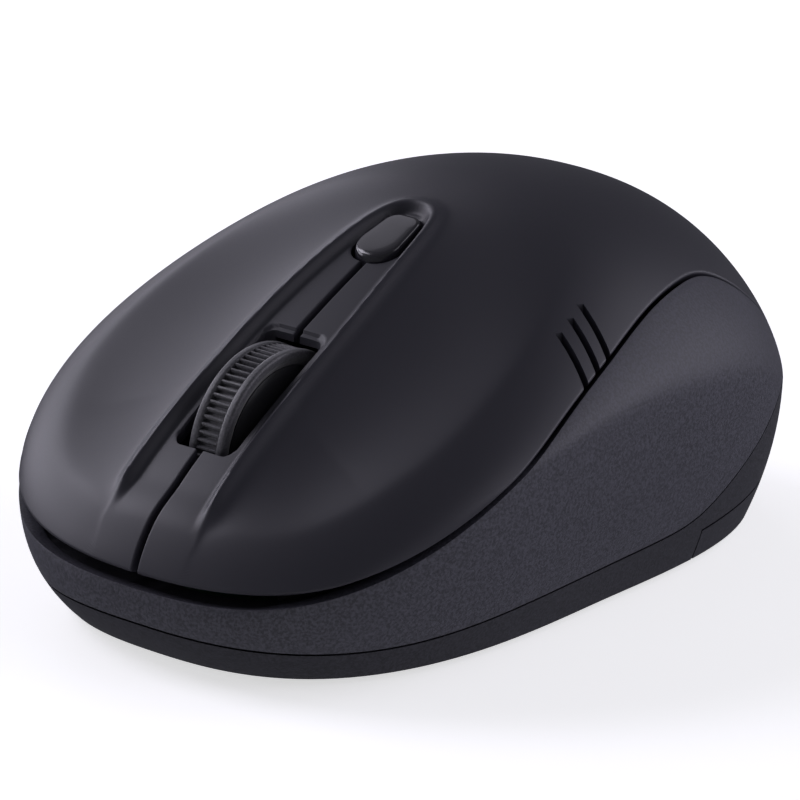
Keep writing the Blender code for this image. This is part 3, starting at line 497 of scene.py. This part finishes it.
def cover_relief(x, y, z):
    """Height of the cover's modelling over its plain form: beads, channel, scoops and rounded edges."""
    spot = np.stack([x, y], 1)
    from_bead = distance_to(spot, bead_line)
    inside = (y < bead_line[-1, 1]) & (x < np.interp(y, bead_line[:, 1], bead_line[:, 0]))
    from_bead = np.where(inside, -from_bead, from_bead)
    crest = BEAD_HEIGHT * ease((y - BEAD_START) / BEAD_RISE)
    floor = CHANNEL_DEPTH * ease((y - CHANNEL_START) / CHANNEL_FALL)
    channel = crest + (floor - crest) * ease(-from_bead / CHANNEL_WALL)
    relief = np.where(inside, channel, crest * np.exp(-((from_bead / BEAD_WIDTH) ** 2)))
    in_scoop = (y > scoop_line[0, 1]) & (x < np.interp(y, scoop_line[:, 1], scoop_line[:, 0]))
    from_limit = distance_to(spot, scoop_line)
    from_limit = np.where(in_scoop, from_limit, -from_limit)
    room = (from_limit + np.sqrt(from_limit**2 + SCOOP_SOFTNESS**2)) / 2
    clear = np.maximum(from_bead, 0)
    width = clear + room + 1e-6
    hollow = 4 * clear * room / width**2 * np.minimum(width / SCOOP_FULL_WIDTH, 1)
    hollow = hollow * (1 - ease((y - SCOOP_FADE) / SCOOP_FADE_LENGTH))
    relief = relief - SCOOP_DEPTH * hollow
    slit = np.where(y < DPI_REAR, x - HALF_SLIT, 1.0)
    relief = relief - turned_down(slit, SLIT_ROUNDING)
    for distance in (slot_distance(x, y), (z - cover_edge(y)) / COVER_EDGE_SLOPE):
        relief = relief - turned_down(distance)
    hole = np.array(dpi_outline(GAP))
    hole = np.concatenate([hole, hole[:1]])
    return relief - turned_down(distance_to(spot, hole))


def section(y, start):
    """The cover's plain section at y, from the given x out to the lower edge, as arc length and (x, z)."""
    u = y / HALF_LENGTH
    width = HALF_WIDTH * plan_width(u)
    edge = float(cover_edge(y))
    turn = np.linspace(math.asin(min(1.0, start / width)), math.pi / 2, 400)
    x = width * np.sin(turn)
    z = top_height(u, np.sin(turn))
    belt = along_ends(u, BELT)
    drop = np.linspace(0, 2.0, 30)[1:]
    tuck = along_ends(u, TUCK) * (drop / belt) ** 2
    x = np.concatenate([x, width - tuck])
    z = np.concatenate([z, belt - drop])
    below = int(np.argmax(z < edge)) if (z < edge).any() else len(z) - 1
    below = max(below, 1)
    t = np.clip((z[below - 1] - edge) / max(z[below - 1] - z[below], 1e-9), 0, 1)
    x[below] = x[below - 1] + t * (x[below] - x[below - 1])
    z[below] = z[below - 1] + t * (z[below] - z[below - 1])
    x, z = x[: below + 1], z[: below + 1]
    along = np.concatenate([[0], np.cumsum(np.hypot(np.diff(x), np.diff(z)))])
    return along, x, z


# The cover grid's columns: arc lengths from the slit, and back from the cover's edge. A section shorter
# than FULL has them all closer together
FULL = 15.0
INNER = np.concatenate([[0, 0.07, 0.16, 0.27, 0.4], np.arange(0.6, 7.6, 0.22)])
EDGE = np.array([0.5, 0.36, 0.25, 0.16, 0.09, 0.04, 0.0])
# Plan angles of the rows behind the nose, in degrees, and before the tail
NOSE_ROWS = np.concatenate([[0.06, 0.2, 0.4, 0.65, 0.95, 1.3, 1.7], np.arange(2.2, 27.0, 0.7)])
TAIL_ROWS = np.array([0.04, 0.12, 0.25, 0.45, 0.7, 1.0])


def column_places(length):
    """Arc lengths of the columns: close together by the slit, over the bead and at the edge."""
    reach = max(length, FULL)
    outer = np.linspace(INNER[-1], reach - EDGE[0], 44)[1:-1]
    return np.concatenate([INNER, outer, reach - EDGE]) * (length / reach)


def angle_where(height, low, high):
    """The angle between low and high at which a rising height passes 0."""
    for _ in range(50):
        middle = (low + high) / 2
        if height(middle) > 0:
            high = middle
        else:
            low = middle
    return middle


def row_places():
    """Places of the cover grid's rows: those of the buttons, and those of the palm."""

    def place(angles):
        return -HALF_LENGTH * np.cos(np.radians(angles))

    def over(angle):
        return crown_at(angle) - cover_edge(-HALF_LENGTH * math.cos(math.radians(angle)))

    def under(angle):
        return -over(angle)

    nose = angle_where(over, 0.0, 30.0)
    tail = angle_where(under, 120.0, 180.0)
    front = place(nose + NOSE_ROWS)
    front = front[front < -38.2]
    middle = np.linspace(-38.0, HINGE_Y, 166)
    rear = place(tail - TAIL_ROWS)[::-1]
    palm = place(np.arange(94.6, tail - 1.4, 0.8))
    palm = palm[palm > HINGE_Y + 0.2]
    return np.concatenate([front, middle]), np.concatenate([[HINGE_Y], palm, rear])


def cover_grid(places):
    """Plain points of one side of the cover, row by row."""
    rows = []
    for y in places:
        start = HALF_SLIT * (1 - ease((y - DPI_FRONT - 3) / 3.0))
        along, x, z = section(y, start)
        at = column_places(along[-1])
        rows.append(np.stack([np.interp(at, along, x), np.full(len(at), y), np.interp(at, along, z)], 1))
    return np.array(rows)


def surface_normals(grid):
    """Unit normals of a grid of points."""
    down = np.gradient(grid, axis=0)
    out = np.gradient(grid, axis=1)
    normal = np.cross(out, down)
    return normal / np.maximum(np.linalg.norm(normal, axis=2, keepdims=True), 1e-12)


def modelled(grid):
    """The grid moved out or in along its normals by the cover's modelling."""
    normal = surface_normals(grid)
    flat = grid.reshape(-1, 3)
    relief = cover_relief(flat[:, 0], flat[:, 1], flat[:, 2]).reshape(grid.shape[:2])
    return grid + normal * relief[..., None], normal


def thick(name, outer, normal, thickness):
    """A closed shell between a grid and the same grid moved in."""
    rows, columns = outer.shape[:2]
    inner = outer - normal * thickness
    count = rows * columns
    top = grid_faces(rows, columns)
    faces = top + [tuple(count + v for v in reversed(f)) for f in top]
    rim = list(range(columns)) + [i * columns + columns - 1 for i in range(1, rows)]
    rim += [(rows - 1) * columns + j for j in range(columns - 2, -1, -1)]
    rim += [i * columns for i in range(rows - 2, 0, -1)]
    for a, b in zip(rim, rim[1:] + rim[:1]):
        faces.append((a, b, b + count, a + count))
    return piece_from(name, np.concatenate([outer.reshape(-1, 3), inner.reshape(-1, 3)]), faces)


def vent_cutter(name, start):
    """A narrow bowed cutter for one vent."""
    run = np.array(VENT_RUN) / np.hypot(*VENT_RUN)
    across = np.array([-run[1], run[0]]) * VENT_WIDTH / 2
    outline = []
    for sign in (1, -1):
        for k in range(9)[::sign]:
            t = k / 8
            bow = VENT_BOW * math.sin(math.pi * t)
            reach = run * VENT_REACH * t
            outline.append(np.array(start) + reach + across * (sign + bow / (VENT_WIDTH / 2)))
    return prism(name, outline, "Z", 24.0, 40.0)


def make_cover():
    """The two buttons and the palm, cut from one modelled surface."""
    front, rear = row_places()
    whole = cover_grid(np.concatenate([front, rear[1:]]))
    outer, normal = modelled(whole)
    split = len(front)
    for side, name, body in ((1, "left", "left_button"), (-1, "right", "right_button")):
        mirror = np.array([side, 1, 1])
        skin = thick(name + "_button_skin", outer[:split] * mirror, normal[:split] * mirror, SKIN)
        slot = rounded(rectangle(-SLOT_HALF_WIDTH, SLOT_FRONT, SLOT_HALF_WIDTH, SLOT_REAR), SLOT_CORNER, 10)
        combine(skin, prism(name + "_slot", slot, "Z", 5, 50), "DIFFERENCE")
        combine(skin, prism(name + "_hole", dpi_outline(GAP), "Z", 20, 50), "DIFFERENCE")
        ring = rectangle(0.5, -WHEEL_ROOM_HALF, WHEEL_RADIUS + WHEEL_ROOM, WHEEL_ROOM_HALF)
        combine(skin, turned(name + "_wheel_room", ring, WHEEL, (1, 0, 0), 96), "DIFFERENCE")
        for k, start in enumerate(VENTS if side > 0 else ()):
            combine(skin, vent_cutter(f"vent_{k}", start), "DIFFERENCE")
        freeze(skin)
        dress(skin, "soft_touch_cover")
        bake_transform(skin)
        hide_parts(name + "_button")
    palm, turn = outer[split - 1 :], normal[split - 1 :]
    mirror = np.array([-1, 1, 1])
    palm = np.concatenate([palm[:, :0:-1] * mirror, palm], axis=1)
    turn = np.concatenate([turn[:, :0:-1] * mirror, turn], axis=1)
    skin = thick("palm_cover_skin", palm, turn, SKIN)
    dress(skin, "soft_touch_cover", "casing")
    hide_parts("palm_cover")


# ---------------------------------------------------------------- side skirt


def band(name, lower, upper, angles, rows, thickness, edge):
    """A wall piece between two seams, over a range of plan angles."""
    grid = []
    for angle in angles:
        line = meridian(angle)
        y, z = line[:, 1], line[:, 2]
        below = int(np.argmax(z > lower(y)))
        above = int(np.argmax(z > upper(y)))
        ends = []
        for k, seam in ((below, lower), (above, upper)):
            if k == 0:
                ends.append(0.0)
                continue
            before, after = z[k - 1] - seam(y[k - 1]), z[k] - seam(y[k])
            ends.append(k - 1 + before / (before - after))
        at = np.linspace(ends[0], max(ends[1], ends[0] + 0.02), 400)
        dense = np.stack([np.interp(at, np.arange(len(z)), line[:, k]) for k in range(3)], 1)
        along = np.concatenate([[0], np.cumsum(np.linalg.norm(np.diff(dense, axis=0), axis=1))])
        t = np.linspace(0, along[-1], rows)
        grid.append(np.stack([np.interp(t, along, dense[:, k]) for k in range(3)], 1))
    grid = np.array(grid)
    normal = surface_normals(grid)
    middle = grid - [0, 0, 15]
    if (normal * middle).sum() < 0:
        normal = -normal
    made = thick(name, grid, normal, thickness)
    bevel(made, edge, 3)
    return freeze(made)


def skirt_foot(y):
    return base_edge(y) + SEAM


def make_skirt():
    """The skirt runs round the nose and ends on each side where its two seams meet."""
    tip = max(a for a in np.arange(30, 80, 0.2) if room_at(math.radians(a)) > 0.25)
    angles = np.radians(np.linspace(tip, -180 - tip, 460))
    skin = band("side_skirt_skin", skirt_foot, skirt_top, angles, 26, SKIRT_THICK, SKIRT_ROUNDING)
    dress(skin, "side_plastic", "casing")
    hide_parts("side_skirt")


def make_ledge():
    """The skirt's inner ledge under the front of the cover, which closes the gap to the inside."""
    points = []
    angles = np.radians(np.linspace(-158, -22, 120))
    for angle in angles:
        line = meridian(angle)
        over = line[:, 2] - skirt_top(line[:, 1]) + LEDGE_DROP
        k = int(np.argmax(over > 0))
        here = Vector(line[k])
        inward = Vector((here.x, here.y, 0)).normalized()
        upper = ((LEDGE_OUTER, 0), (LEDGE_INNER, 0.1))
        lower = ((LEDGE_INNER, LEDGE_THICK), (LEDGE_OUTER, LEDGE_THICK))
        for depth, down in upper + lower:
            points.append(tuple(here - inward * depth - Vector((0, 0, down))))
    faces = []
    for k in range(len(angles) - 1):
        for i in range(4):
            j = (i + 1) % 4
            faces.append((4 * k + i, 4 * k + j, 4 * k + 4 + j, 4 * k + 4 + i))
    faces += [(3, 2, 1, 0), tuple(range(len(points) - 4, len(points)))]
    dress(piece_from("side_skirt_ledge", points, faces), "base_plastic", "casing")


def room_at(angle):
    """Height left for the skirt where the body's belt passes in this direction."""
    line = meridian(angle)
    y, z = line[:, 1], line[:, 2]
    return float(np.interp(0, (z - skirt_top(y)), z) - np.interp(0, (z - base_edge(y) - GAP), z))


# ---------------------------------------------------------------- underside


def form(name, inset, steps=160):
    """The whole body as one closed form, moved in by inset."""
    lines = []
    for k in range(steps):
        line = meridian(2 * math.pi * (k + 0.5) / steps, inset, 14, 30)
        lines.append(line[:-1])
    grid = np.array(lines)
    columns, rows = grid.shape[:2]
    points = grid.transpose(1, 0, 2).reshape(-1, 3)
    faces = grid_faces(rows, columns, around=True)
    points = np.concatenate([points, [[0, 0, float(top_height(0.0, 0.0, inset))]]])
    last = (rows - 1) * columns
    faces += [(last + k, last + (k + 1) % columns, len(points) - 1) for k in range(columns)]
    faces.append(tuple(range(columns))[::-1])
    return piece_from(name, points, faces)


def side_strip(low, upper, first, last, step=0.75):
    """The strip in side view between a level and a seam."""
    places = np.arange(first, last + step / 2, step)
    return [(y, low) for y in places] + [(y, float(upper(y))) for y in places[::-1]]


def door_region(name, grow):
    """All that belongs to the battery door: the tail's foot and a tongue under the batteries."""
    front = DOOR_SIDE[1][0] - grow
    side_view = [(DOOR_SIDE[0][0] - grow, DOOR_SIDE[0][1]), (60.0, DOOR_SIDE[0][1]),
                 (60.0, DOOR_SIDE[2][1] + 0.9 + grow), (DOOR_SIDE[2][0], DOOR_SIDE[2][1] + grow),
                 (front, DOOR_SIDE[1][1] + grow)]
    region = prism(name, side_view, "X", -40.0, 40.0)
    width = TONGUE_HALF_WIDTH + grow
    tongue = rounded(rectangle(-width, TONGUE_FRONT - grow, width, DOOR_SIDE[1][0] + 6), 2.0)
    combine(region, prism(name + "_tongue", tongue, "Z", -2.0, 4.0), "UNION")
    return freeze(region)


def foot_outline(side, grow):
    """The rear foot's outline for side 0, else that of a front foot."""
    inner, front, outer, rear = REAR_FOOT if side == 0 else FRONT_FOOT
    radius = REAR_FOOT_RADIUS if side == 0 else FRONT_FOOT_RADIUS
    low, high = inner - grow, outer + grow
    if side < 0:
        low, high = -high, -low
    return rounded(rectangle(low, front - grow, high, rear + grow), radius + grow)


def cut_up(thing, name, outline, top):
    """Cuts an outline into a piece from below, up to a height."""
    combine(thing, prism(name, outline, "Z", -1.0, top), "DIFFERENCE")


def make_base():
    """The underside with its low wall, screw sinks, foot seats, sensor eye, switch pocket and label seat."""
    base = form("base_skin", 0.0)
    combine(base, form("base_hollow", WALL), "DIFFERENCE")
    region = side_strip(-3.0, base_top, -48.0, 48.0)
    combine(base, prism("base_region", region, "X", -40, 40), "INTERSECT")
    combine(base, door_region("base_door_gap", DOOR_SEAM), "DIFFERENCE")
    for side in (-1, 1):
        x, y = side * SCREW_X, SCREW_Y
        seat = rectangle(0.4, -1.0, SINK_RADIUS, SINK_TOP)
        combine(base, turned(f"sink_{side + 1}", seat, (x, y, 0), (0, 0, 1), 40), "DIFFERENCE")
        cut_up(base, f"sink_core_{side + 1}", rectangle(x - 1, y - 1, x + 1, y + 1), SINK_TOP)
        cut_up(base, f"foot_seat_{side + 1}", foot_outline(side, FOOT_GAP), FOOT_SEAT_TOP)
    eye = [(0.2, -1.0), (6.2, -1.0), (3.6, 1.9), (3.6, 6.0), (0.2, 6.0)]
    combine(base, turned("sensor_eye", eye, (0, SENSOR_Y, 0), (0, 0, 1), 64), "DIFFERENCE")
    cut_up(base, "sensor_core", rectangle(-1, SENSOR_Y - 1, 1, SENSOR_Y + 1), 6)
    cut_up(base, "switch_pocket", rounded(rectangle(*SWITCH_POCKET), 0.8), 1.7)
    cut_up(base, "switch_slit", rounded(rectangle(*SWITCH_SLIT), 0.6), 5.0)
    cut_up(base, "label_seat", rounded(rectangle(*LABEL), 0.8), 0.95)
    freeze(base, 30)
    dress(base, "base_plastic", "casing")
    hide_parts("base_shell")


def make_deck():
    """The shelf over the batteries, seen when the door is off."""
    deck = form("base_deck", WALL + 0.05, 96)
    combine(deck, prism("deck_slab", rectangle(19.6, 7.3, 60.0, 8.5), "X", -40, 40), "INTERSECT")
    combine(deck, prism("deck_bay", rectangle(-12.8, 0.0, 12.8, 42.9), "Z", 5, 12), "DIFFERENCE")
    freeze(deck, 30)
    dress(deck, "inner_plastic", "casing")


def make_door():
    """The battery door with its foot seat and finger grips."""
    door = form("door_skin", 0.0)
    combine(door, form("door_hollow", WALL), "DIFFERENCE")
    combine(door, door_region("door_region", 0.0), "INTERSECT")
    cut_up(door, "door_foot_seat", foot_outline(0, FOOT_GAP), FOOT_SEAT_TOP)
    for k in range(GRIPS):
        y = GRIP_START + GRIP_STEP * k
        grip = rectangle(-GRIP_HALF_LENGTH, y, GRIP_HALF_LENGTH, y + GRIP_WIDTH)
        cut_up(door, f"door_grip_{k}", rounded(grip, 0.38), 1.25)
    freeze(door, 30)
    dress(door, "base_plastic", "door")
    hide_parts("battery_door")


def make_feet():
    for name, side, body in (
        ("left_front_foot", 1, "casing"),
        ("right_front_foot", -1, "casing"),
        ("rear_foot", 0, "door"),
    ):
        foot = prism(name + "_pad", foot_outline(side, 0.0), "Z", 0.0, FOOT_THICK)
        bevel(foot, 0.25, 3, 60)
        freeze(foot)
        dress(foot, "foot_plastic", body)
        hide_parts(name)


# ---------------------------------------------------------------- wheel


def wheel_tyre():
    """A rubber tyre: two smooth rims with a band of cross ribs between them."""
    rib_top, rib_floor = WHEEL_RADIUS - RIM_LIP, WHEEL_RADIUS - RIB_DEPTH
    edge = 0.35
    rim = [(RIM_HALF + 0.03, rib_floor), (RIM_HALF + 0.06, rib_top)]
    rim += [(RIM_HALF + 0.16, WHEEL_RADIUS - 0.02), (RIM_HALF + 0.4, WHEEL_RADIUS)]
    for k in range(6):
        turn = math.pi / 2 * k / 5
        across = TYRE_HALF_WIDTH - edge + edge * math.sin(turn)
        rim.append((across, WHEEL_RADIUS - edge + edge * math.cos(turn)))
    rim += [(TYRE_HALF_WIDTH, WHEEL_RADIUS - 0.9), (TYRE_HALF_WIDTH - 0.12, WHEEL_RADIUS - 1.05)]
    rim += [(TYRE_HALF_WIDTH - 0.5, TYRE_INNER)]
    ribbed = [(x, None) for x in np.linspace(-RIM_HALF, RIM_HALF, 5)]
    profile = [(-x, r) for x, r in rim[::-1]] + ribbed + rim
    height = (0, 0, 0.1, 0.8, 1, 1, 1, 0.8, 0.1, 0)
    steps = RIBS * len(height)
    points = []
    for k in range(steps):
        angle = 2 * math.pi * k / steps
        rib = rib_floor + (rib_top - rib_floor) * height[k % len(height)]
        for x, radius in profile:
            reach = rib if radius is None else radius
            points.append((x, WHEEL.y + reach * math.cos(angle), WHEEL.z + reach * math.sin(angle)))
    columns = len(profile)
    faces = []
    for k in range(steps):
        n = (k + 1) % steps
        for i in range(columns):
            j = (i + 1) % columns
            faces.append((k * columns + i, n * columns + i, n * columns + j, k * columns + j))
    return piece_from("wheel_tyre_skin", points, faces, 42)


def make_wheel():
    """The tyre, and the hub with its smooth bulging sides."""
    tyre = wheel_tyre()
    dress(tyre, "tyre_rubber", "wheel")
    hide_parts("wheel_tyre")
    rim = TYRE_INNER - 0.03
    side = [(rim * t, HUB_HALF + HUB_BULGE * (1 - t**2) ** 0.7) for t in np.linspace(0.15, 1, 16)]
    hub = [(r, -a) for r, a in side] + side[::-1]
    hub = turned("wheel_hub_skin", hub, WHEEL, (1, 0, 0), 96, 30)
    dress(hub, "inner_plastic", "wheel")
    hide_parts("wheel_hub")


# ---------------------------------------------------------------- centre button


def make_dpi():
    """The glossy centre button: its top follows the cover's crown, its edge is rounded over."""
    outline = np.array(dpi_outline(0.0, 14))
    middle = outline.mean(axis=0)
    rings = []
    crown = ((0.0, 4.2), (0.0, 0.5), (0.04, 0.3), (0.13, 0.13), (0.3, 0.03), (0.6, 0.0), (1.3, -0.02),
             (2.2, -0.03))
    for inward, down in crown:
        toward = middle - outline
        reach = np.linalg.norm(toward, axis=1, keepdims=True)
        plan = outline + toward / reach * np.minimum(inward, reach * 0.9)
        height = top_height(plan[:, 1] / HALF_LENGTH, np.abs(plan[:, 0]) / HALF_WIDTH) - down
        rings.append(np.column_stack([plan, height]))
    grid = np.array(rings)
    rows, columns = grid.shape[:2]
    faces = grid_faces(rows, columns, around=True)
    faces.append(tuple(range(columns))[::-1])
    faces.append(tuple(range((rows - 1) * columns, rows * columns)))
    button = piece_from("dpi_button_cap", grid.reshape(-1, 3), faces, 50)
    dress(button, "gloss_button", "centre_button")
    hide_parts("dpi_button")


# ---------------------------------------------------------------- inner pieces, stage, light and camera


def make_lift_spring():
    """The coil under the wheel fork, a copy of the CAD spring that rides on the casing."""
    solid = frame["nodes"]["carrier_spring"]
    coil = bpy.data.objects.new("carrier_spring_wire", solid.data.copy())
    coil.data.transform(solid.matrix_world)
    bpy.context.collection.objects.link(coil)
    dress(coil, "steel", "casing")
    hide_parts("carrier_spring")
    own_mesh(coil)


def dress_cad():
    """Every CAD piece still shown takes its slot's material and slightly broken edges."""
    slots = {row["node"]: row["material_slot"] for row in frame["record"]["subparts"]}
    for name, thing in frame["nodes"].items():
        thing.data.materials.clear()
        thing.data.materials.append(LOOKS[slots[name]])
        bevel(thing, 0.12, 2)


def make_stage():
    """A pale floor that glows a little, and a dim world."""
    floor_look = plastic("studio_floor", (0.88, 0.88, 0.89), 0.6, 3.0, 0.0, 0.01)
    bpy.ops.mesh.primitive_plane_add(size=6.0, location=(0, 0, -0.0001))
    floor = bpy.context.object
    floor.name = "studio_floor"
    glow = floor_look.node_tree.nodes["Principled BSDF"]
    glow.inputs["Emission Color"].default_value = (1.0, 1.0, 1.0, 1)
    glow.inputs["Emission Strength"].default_value = FLOOR_GLOW
    floor.data.materials.append(floor_look)
    floor.visible_glossy = False
    world = bpy.data.worlds.new("studio")
    bpy.context.scene.world = world
    world.use_nodes = True
    background = world.node_tree.nodes["Background"]
    background.inputs["Color"].default_value = WORLD_COLOUR
    background.inputs["Strength"].default_value = WORLD_BRIGHTNESS


def softbox(name, azimuth, elevation, size, brightness):
    """A softbox that faces the object, seen from it at this azimuth and elevation.
    brightness is that of its face."""
    a, e = math.radians(azimuth), math.radians(elevation)
    away = Vector((math.sin(a) * math.cos(e), -math.cos(a) * math.cos(e), math.sin(e)))
    data = bpy.data.lights.new(name, "AREA")
    data.shape = "RECTANGLE"
    data.size, data.size_y = size
    data.energy = brightness * math.pi * size[0] * size[1]
    data.color = SOFTBOX_COLOUR
    thing = bpy.data.objects.new(name, data)
    thing.location = Vector((0, 0, 0.02)) + away * SOFTBOX_DISTANCE
    thing.rotation_euler = (-away).to_track_quat("-Z", "Y").to_euler()
    bpy.context.scene.collection.objects.link(thing)


def make_lights():
    for azimuth, elevation, width, height, brightness in SOFTBOXES:
        softbox(f"softbox_{azimuth}_{elevation}", azimuth, elevation, (width, height), brightness)


def make_camera():
    """The camera, turned about its own axis by the roll."""
    azimuth, elevation = math.radians(CAMERA_AZIMUTH), math.radians(CAMERA_ELEVATION)
    roll = math.radians(CAMERA_ROLL)
    level = math.cos(elevation)
    back = Vector((math.sin(azimuth) * level, -math.cos(azimuth) * level, math.sin(elevation)))
    right = Vector((math.cos(azimuth), math.sin(azimuth), 0))
    up = back.cross(right)
    tilted_right = right * math.cos(roll) - up * math.sin(roll)
    tilted_up = right * math.sin(roll) + up * math.cos(roll)
    data = bpy.data.cameras.new("camera")
    data.lens = CAMERA_LENS
    data.shift_x, data.shift_y = CAMERA_SHIFT
    data.clip_start = 0.05
    camera = bpy.data.objects.new("camera", data)
    turn = Matrix((tilted_right, tilted_up, back)).transposed().to_4x4()
    place = Vector((0, 0, CAMERA_AIM_HEIGHT)) + back * CAMERA_DISTANCE
    camera.matrix_world = Matrix.Translation(place) @ turn
    bpy.context.scene.collection.objects.link(camera)
    bpy.context.scene.camera = camera


make_camera()
dress_cad()
make_cover()
make_skirt()
make_ledge()
make_base()
make_deck()
make_door()
make_feet()
make_wheel()
make_dpi()
make_lift_spring()
make_stage()
make_lights()
bpy.context.scene.view_settings.view_transform = "Standard"
